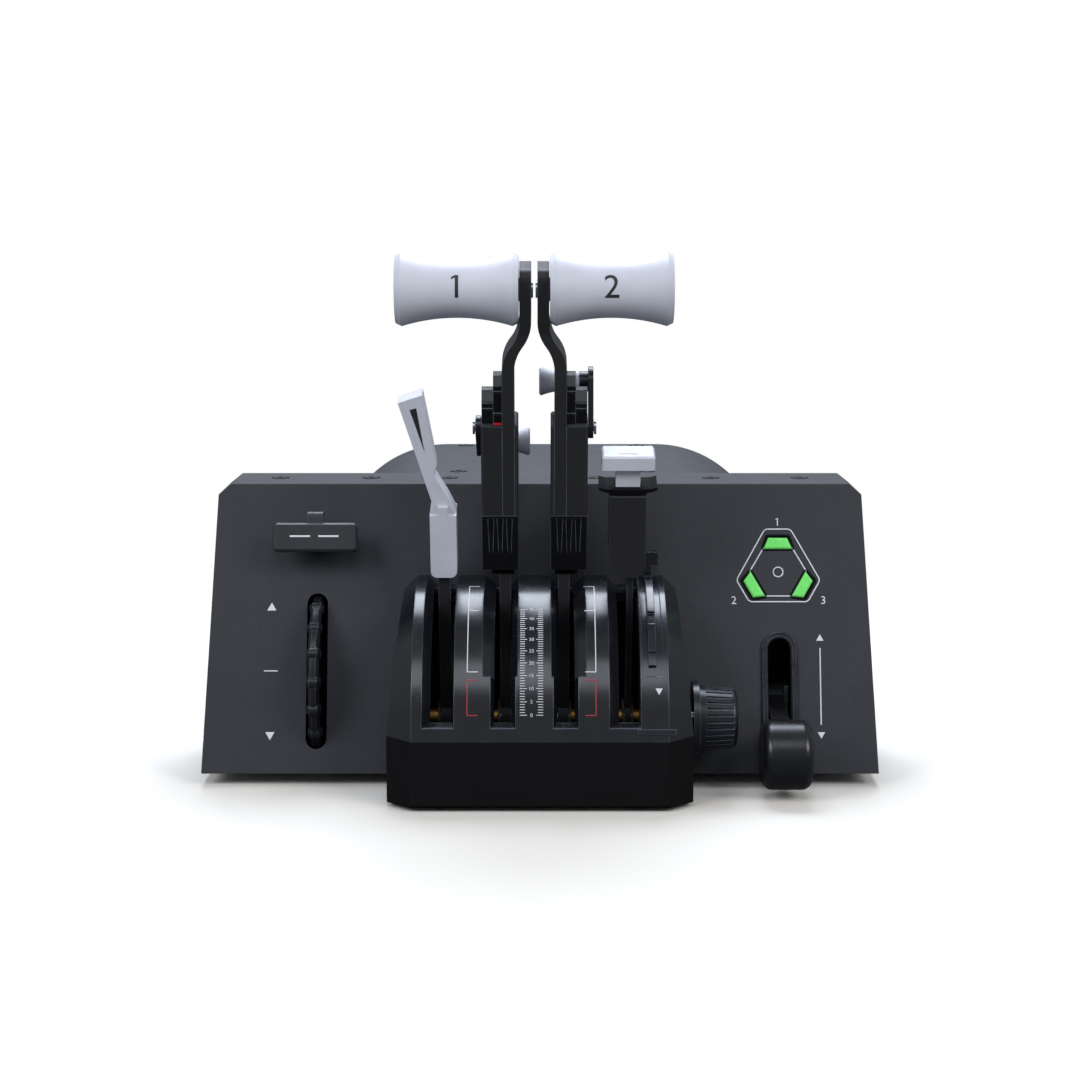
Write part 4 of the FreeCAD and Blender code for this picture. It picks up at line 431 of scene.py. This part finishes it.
# ---------------------------------------------------------------------------------------------
# Moulded details of the hood
# Bevelled lips where the four channels run out, and a low ledge beside the flap channel
# ---------------------------------------------------------------------------------------------
# a lip is a wedge that slopes from the hood's face at lip_low down to the groove's depth at lip_high
groove, lip_low, lip_high = 4.0 * MM, 9.5, 11.4
# where each channel's edges lie across the hood, from left to right: the left bevel's outer edge,
# the slot's two edges, and the right bevel's outer edge
channels = np.array([(-51.0, -47.4, -38.1, -37.2), (-21.4, -19.8, -12.2, -10.6),
                     (5.8, 7.4, 15.0, 16.6), (29.9, 34.0, 42.8, 43.4)]) * MM
wide_left, left, right, wide_right = channels.T
lip_points = np.stack([on_hood(across, np.full(4, at), np.full(4, out)) for across, at, out in (
    (wide_left, lip_low, 0.0), (wide_right, lip_low, 0.0), (right, lip_low, -groove),
    (left, lip_low, -groove), (right, lip_high, -groove), (left, lip_high, -groove))], 1).reshape(-1, 3)
lip_faces = [[first + corner for corner in face] for first in range(0, 24, 6)
             for face in ([0, 3, 2, 1], [3, 5, 4, 2], [0, 1, 4, 5], [0, 5, 3], [1, 2, 4])]
piece("channel_lips", lip_points, lip_faces, hood_plastic)
ledge_span, ledge_proud = (42.0 * MM, 58.6 * MM, 7.2, 9.2), 0.6 * MM
piece("hood_ledge", *bars([ledge_span], on_hood, 4, ledge_proud), hood_plastic)

# ---------------------------------------------------------------------------------------------
# Printed marks on the front panel, the parking brake plate and below the flap gate
# White screen ink: lamp outline and links with numerals, gear travel line, arrows for gear, trim
# and flaps, a short bar beside the middle of the trim wheel, two bars on the brake plate
# ---------------------------------------------------------------------------------------------
up_dir = np.array([0.0, out_dir[2], -out_dir[1]])
foot = np.array([0.0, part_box("front_panel")[0].y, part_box("cabinet_shell")[0].z])


def on_panel(flat, out):
    """Points of the leaning panel from flat corners (across, up): foot of its slope + up times the
    slope + out times its normal, with across as x."""
    laid = foot + flat[..., 1:2] * up_dir + np.asarray(out)[..., None] * out_dir
    laid[..., 0] = flat[..., 0]
    return laid


def inked(name, outlines, material, out=0.0, body="cabinet"):
    """Printed flat shapes of equal corner count on the panel, or on a plate that far ahead of it."""
    return piece(name, *prisms(outlines, on_panel, out - INK_THICK, out + INK_THICK), material, body)


def stroke(start, end, width):
    """Corners of a straight line of ink from start to end."""
    start, end = np.array(start), np.array(end)
    side = np.array([start[1] - end[1], end[0] - start[0]]) / np.linalg.norm(end - start) * width / 2
    return np.array([start - side, end - side, end + side, start + side])


def rounded_loop(corners, radius, steps=6):
    """A closed path whose corners are arcs: each starts radius * tan(half the turn) before its
    corner and follows a circle of that radius."""
    path = []
    for here, corner in enumerate(corners):
        back = corners[here - 1] - corner
        ahead = corners[(here + 1) % len(corners)] - corner
        back, ahead = back / np.linalg.norm(back), ahead / np.linalg.norm(ahead)
        half = np.arccos(np.clip(back @ ahead, -1, 1)) / 2
        centre = corner + (back + ahead) / np.linalg.norm(back + ahead) * radius / np.sin(half)
        start, end = corner + back * radius / np.tan(half), corner + ahead * radius / np.tan(half)
        share = np.linspace(0, 1, steps + 1)[:, None]
        chord = (start - centre) * (1 - share) + (end - centre) * share
        path.append(centre + chord / np.linalg.norm(chord, axis=1)[:, None] * radius)
    return np.concatenate(path)


def loop_line(path, width):
    """Quads of a closed line of ink: at each corner of the path, half the width to either side
    along the mean of the two sides' normals."""
    ahead, back = np.roll(path, -1, 0) - path, path - np.roll(path, 1, 0)
    normal = np.stack([ahead[:, 1], -ahead[:, 0]], 1) / np.linalg.norm(ahead, axis=1)[:, None]
    normal += np.stack([back[:, 1], -back[:, 0]], 1) / np.linalg.norm(back, axis=1)[:, None]
    normal *= (width / 2 / np.linalg.norm(normal, axis=1))[:, None]
    outer, inner = path + normal, path - normal
    return np.stack([outer, np.roll(outer, -1, 0), np.roll(inner, -1, 0), inner], 1)


def laid_numeral(text, size, centre):
    """A plain numeral laid flat on the panel with its middle at centre."""
    points, faces = numeral(text, size)
    return on_panel(points[:, :2] + np.array(centre), points[:, 2]), faces


lamp_low, lamp_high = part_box("gear_lamps")
lamp_up = 91.3 * MM
lamp_centre = np.array([(lamp_low.x + lamp_high.x) / 2, lamp_up])
outline = lamp_centre + np.array([(19.05, -3.7), (5.85, 19.7), (-5.85, 19.7), (-19.05, -3.7),
                                  (-13.35, -13.6), (13.35, -13.6)]) * MM
fine_line, outline_round = 0.55 * MM, 2.6 * MM
inked("lamp_outline", loop_line(rounded_loop(outline, outline_round), fine_line), white_ink)
links = [((-6.6, 11.0), (-12.9, 0.2)), ((12.9, 0.2), (6.6, 11.0)), ((-5.8, -11.0), (5.8, -11.0))]
inked("lamp_links", [stroke(lamp_centre + np.array(start) * MM, lamp_centre + np.array(end) * MM,
                            fine_line) for start, end in links], white_ink)
ring_radius = 2.2 * MM
ring_turns = np.linspace(0, 2 * np.pi, 33)[:-1]
ring_path = lamp_centre + np.stack([np.cos(ring_turns), np.sin(ring_turns)], 1) * ring_radius
inked("lamp_ring_mark", loop_line(ring_path, fine_line), white_ink)
lamp_numeral = 5.2 * MM
for text, across, up in (("1", 0.0, 23.0), ("2", -20.3, -12.9), ("3", 20.3, -12.9)):
    piece("lamp_numeral_" + text,
          *laid_numeral(text, lamp_numeral, lamp_centre + np.array([across, up]) * MM), white_ink)

# places of the two columns of arrows across the panel, in millimetres
gear_across, trim_across = 126.9, -121.8
travel_low, travel_high = 21.8 * MM, 56.6 * MM
inked("gear_travel_line", [stroke((gear_across * MM, travel_low), (gear_across * MM, travel_high),
                                  fine_line)], white_ink)
# a triangle one unit wide that points up; its size is in millimetres, and -1 turns it to point down
pointer = np.array([(-0.5, -0.33), (0.5, -0.33), (0.0, 0.55)])
gear_arrow, trim_arrow = 3.4, 4.2
arrows = ((gear_across, 61.0, gear_arrow, 1), (gear_across, 17.4, gear_arrow, -1),
          (trim_across, 75.0, trim_arrow, 1), (trim_across, 17.2, trim_arrow, -1))
inked("travel_arrows", [np.array([across, up]) * MM + pointer * size * turn * MM
                        for across, up, size, turn in arrows], white_ink)
trim_left, trim_right, trim_up = -125.0 * MM, -118.6 * MM, 46.2 * MM
inked("trim_middle_mark", [stroke((trim_left, trim_up), (trim_right, trim_up), fine_line)], white_ink)
plate_face, bar_up, bar_half, bar_wide = 16.0 * MM, 105.6 * MM, 4.6 * MM, 0.8 * MM
inked("brake_plate_bars", [stroke((middle - bar_half, bar_up), (middle + bar_half, bar_up), bar_wide)
                           for middle in (-107.8 * MM, -95.0 * MM)], white_ink, plate_face, "park_brake")


def below_flap_gate(flat, out):
    """Flat corners laid on the hood about the spot below the flap gate's lower end."""
    return wrapped(flat, 51.3 * MM, 23.5, out)


flap_arrow = 3.2
piece("flap_arrow", *prisms([pointer * -flap_arrow * MM], below_flap_gate, -INK_THICK, INK_THICK),
      white_ink)

# ---------------------------------------------------------------------------------------------
# Shade of the lamp recesses
# A matt black sheet fills the gap between each lens and its window, a little behind the panel's face,
# as painted shade of its recess; a rounded black rim printed round each window is painted shade too
# ---------------------------------------------------------------------------------------------
recess_shade = finish("painted lamp recess shade", "#09090a", "#0b0b0c", "#26272b", 0.5, 0.4, 0.004, 3.0,
                     **{"Specular IOR Level": 0.1})
# a lens is a trapezium: its distance from the lamps' middle, half of its inner side, half of its
# outer side, and half its height
ring_out, inner_half, outer_half, tall_half = np.array([13.2, 6.5, 4.3, 2.5]) * MM
gap, rim_round, rim_wide, rim_grow = 0.8 * MM, 0.9 * MM, 0.9 * MM, 1.02
recess_shade_low, recess_shade_high = -1.4 * MM, -1.0 * MM
recess_shade_quads, rim_shade_quads = [], []
for turn in np.radians((0, 120, 240)):
    spin = np.array([[np.cos(turn), -np.sin(turn)], [np.sin(turn), np.cos(turn)]])
    lens, window = [np.array([(-inner_half - more, ring_out - tall_half - more),
                              (inner_half + more, ring_out - tall_half - more),
                              (outer_half + more, ring_out + tall_half + more),
                              (-outer_half - more, ring_out + tall_half + more)]) for more in (0.0, gap)]
    rim_path = lamp_centre + rounded_loop(window * rim_grow, rim_round) @ spin.T
    rim_shade_quads.append(loop_line(rim_path, rim_wide))
    for side in range(4):
        after = (side + 1) % 4
        quad = np.array([window[side], window[after], lens[after], lens[side]])
        recess_shade_quads.append(lamp_centre + quad @ spin.T)
piece("lamp_recess_shade", *prisms(recess_shade_quads, on_panel, recess_shade_low, recess_shade_high), recess_shade)
# the black rims printed round the windows are painted shade of the recesses' edges
inked("lamp_rim_shade", np.concatenate(rim_shade_quads), recess_shade)

# ---------------------------------------------------------------------------------------------
# Marks and small pads on the levers
# Red felt pad glued on top of the first thrust case; a long dark wedge printed on the speed-brake
# grip's blade, and a faint grey bar on the flap handle's top
# ---------------------------------------------------------------------------------------------
# the collar slides along the flap stem, and at rest all four levers stand the same way
lever_up = np.array(joints["flap_collar_lift"]["axis"])
lever_back = np.array([0.0, lever_up[2], -lever_up[1]])


def on_lever(across, back, up):
    """Points of a lever at rest: the pivot + back times its backward and up times its long way."""
    laid = pivot + np.asarray(back)[..., None] * lever_back + np.asarray(up)[..., None] * lever_up
    laid[..., 0] = across
    return laid


def across_lever(flat, up):
    """Flat corners (across, back) laid square to a lever at that height along it."""
    return on_lever(flat[..., 0], flat[..., 1], up)


def along_lever(flat, back):
    """Flat corners (across, up) laid along a lever, that far behind its middle."""
    return on_lever(flat[..., 0], back, flat[..., 1])


red_felt = finish("red felt pad", "#a3212b", "#8d1b24", "#c24a52", 0.9, 0.3, 0.05, 2.0,
                  **{"Specular IOR Level": 0.1})
pad = np.array([[(-20.0, -8.9), (-16.4, -8.9), (-16.4, -7.1), (-20.0, -7.1)]]) * MM
pad_low, pad_high = 146.98 * MM, 147.6 * MM
piece("stop_pad", *prisms(pad, across_lever, pad_low, pad_high), red_felt, "throttle_1")

dark_ink = finish("dark screen ink", "#16171a", "#1c1d20", "#2a2b2f", 0.55, 0.3, 0.002, 4.0)
wedge = np.array([[(-50.0, 133.0), (-53.2, 153.2), (-56.0, 152.4)]]) * MM
blade_face = -4.5 * MM
piece("speed_brake_wedge", *prisms(wedge[:, ::-1], along_lever, blade_face + INK_THICK,
                                   blade_face - INK_THICK), dark_ink, "speed_brake")
faint_ink = finish("faint grey ink", "#8a8d98", "#82858f", "#9a9da8", 0.55, 0.3, 0.002, 4.0)
bar = np.array([[(34.2, -3.6), (42.6, -3.6), (42.6, -2.8), (34.2, -2.8)]]) * MM
flap_top = 131.6 * MM
piece("flap_handle_bar", *prisms(bar, across_lever, flap_top - INK_THICK, flap_top + INK_THICK),
      faint_ink, "flap_lever")

# ---------------------------------------------------------------------------------------------
# Numerals on the thrust grips
# Plain dark numerals printed on the waist of each grip, wrapped round it
# ---------------------------------------------------------------------------------------------
bore_clear, grip_numeral, grip_strips, ink_lift, numeral_turn = 10 * MM, 14.2 * MM, 30, 0.04 * MM, 9
for number in (1, 2):
    name = "throttle_%d_handle" % number
    low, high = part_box(name)
    middle = (np.array(low) + np.array(high)) / 2
    grip = corners_of(frame["nodes"][name].data)
    # the grip's radius along its length, from its outer corners: those well away from its bore
    away = np.hypot(grip[:, 1] - middle[1], grip[:, 2] - middle[2])
    length, away = grip[away > bore_clear, 0], away[away > bore_clear]
    order = np.argsort(length)
    points, faces = numeral(str(number), grip_numeral, grip_strips)
    across = middle[0] + points[:, 0]
    radius = np.interp(across, length[order], away[order]) + points[:, 2] + ink_lift
    turn = math.radians(numeral_turn) + points[:, 1] / radius
    printed = np.stack([across, middle[1] - radius * np.cos(turn), middle[2] + radius * np.sin(turn)], 1)
    piece("grip_numeral_%d" % number, printed, faces, dark_ink, "throttle_%d" % number)

# ---------------------------------------------------------------------------------------------
# Studio: pale floor, soft light and camera
# A matt floor that fades into a white backdrop, one large lamp overhead, a faint one high in
# front and one at each side, and the camera in front, a little above the levers
# ---------------------------------------------------------------------------------------------
floor_paint = bpy.data.materials.new("pale studio floor")
floor_tree = empty_tree(floor_paint)
floor_seen = add_node(floor_tree, "LightPath").outputs["Is Camera Ray"]
# the floor is pale where the camera sees it and darker where it lights the object
floor_tone = blend(floor_tree, floor_seen, (0.14, 0.14, 0.145, 1), (0.77, 0.74, 0.69, 1))
matt = add_node(floor_tree, "BsdfDiffuse", {"Color": floor_tone})
# away from the part the floor fades into the white backdrop, over these distances in metres
fade_start, fade_end = 0.22, 0.55
away = add_node(floor_tree, "VectorMath", {0: add_node(floor_tree, "TexCoord").outputs["Object"]},
                operation="LENGTH")
faded = add_node(floor_tree, "MapRange", {"Value": away.outputs["Value"], "From Min": fade_start,
                                          "From Max": fade_end})
share = add_node(floor_tree, "Math", {0: faded.outputs["Result"], 1: floor_seen}, operation="MULTIPLY")
paper = add_node(floor_tree, "Emission", {"Color": (1, 1, 1, 1), "Strength": 1.0})
floor_shade = add_node(floor_tree, "MixShader", {0: share.outputs[0], 1: matt.outputs[0],
                                                 2: paper.outputs[0]})
add_node(floor_tree, "OutputMaterial", {"Surface": floor_shade.outputs[0]})
ground = bpy.data.meshes.new("studio_floor")
floor_half = 30
ground.from_pydata([(-floor_half, -floor_half, 0), (floor_half, -floor_half, 0),
                    (floor_half, floor_half, 0), (-floor_half, floor_half, 0)], [], [[0, 1, 2, 3]])
ground.materials.append(floor_paint)
floor = bpy.data.objects.new("studio_floor", ground)
bpy.context.scene.collection.objects.link(floor)

# a cool sky lights the object; the camera, also through clear things, sees plain white
world = bpy.data.worlds.new("studio")
bpy.context.scene.world = world
sky_tree = empty_tree(world)
sky_seen = add_node(sky_tree, "LightPath")
straight = add_node(sky_tree, "Math", {0: sky_seen.outputs["Is Camera Ray"],
                                       1: sky_seen.outputs["Is Transmission Ray"]}, operation="MAXIMUM")
lighting = add_node(sky_tree, "Background", {"Color": (0.87, 0.92, 1.0, 1), "Strength": 0.42})
backdrop = add_node(sky_tree, "Background", {"Color": (1, 1, 1, 1), "Strength": 1.0})
sky = add_node(sky_tree, "MixShader", {0: straight.outputs[0], 1: lighting.outputs[0],
                                       2: backdrop.outputs[0]})
add_node(sky_tree, "OutputWorld", {"Surface": sky.outputs[0]})


def soft_lamp(name, at, aim, side, watts, colour):
    """A square lamp of that side in metres, turned to face the point it aims at."""
    lamp = bpy.data.lights.new(name, "AREA")
    lamp.shape, lamp.size, lamp.energy, lamp.color = "SQUARE", side, watts, colour
    made = bpy.data.objects.new(name, lamp)
    bpy.context.scene.collection.objects.link(made)
    made.location = at
    towards = np.array(aim) - np.array(at)
    made.rotation_euler = Vector(towards).to_track_quat("-Z", "Y").to_euler()


# the overhead lamp stands behind the part, so that it shows in the hood's crest
soft_lamp("overhead_panel", at=(0.0, 0.52, 1.10), aim=(0, -0.05, 0.1), side=0.72, watts=17,
          colour=(0.80, 0.87, 1.0))
soft_lamp("front_panel_light", at=(0.0, -1.35, 1.40), aim=(0, 0, 0.1), side=0.7, watts=5,
          colour=(0.86, 0.91, 1.0))
soft_lamp("left_panel_light", at=(-1.25, -1.15, 1.10), aim=(0, 0, 0.1), side=0.8, watts=16.5,
          colour=(0.93, 0.96, 1.0))
soft_lamp("right_panel_light", at=(1.25, -1.15, 1.10), aim=(0, 0, 0.1), side=0.8, watts=15.5,
          colour=(1.0, 0.99, 0.98))

camera = bpy.data.cameras.new("pilot_view")
camera.sensor_width, camera.lens = 36.0, 74.07
viewer = bpy.data.objects.new("pilot_view", camera)
bpy.context.scene.collection.objects.link(viewer)
viewer.location = (0.0, -1.0491, 0.2662)
tilt_down = 9
viewer.rotation_euler = (math.radians(90 - tilt_down), 0, 0)
bpy.context.scene.camera = viewer
bpy.context.scene.view_settings.view_transform = "Standard"
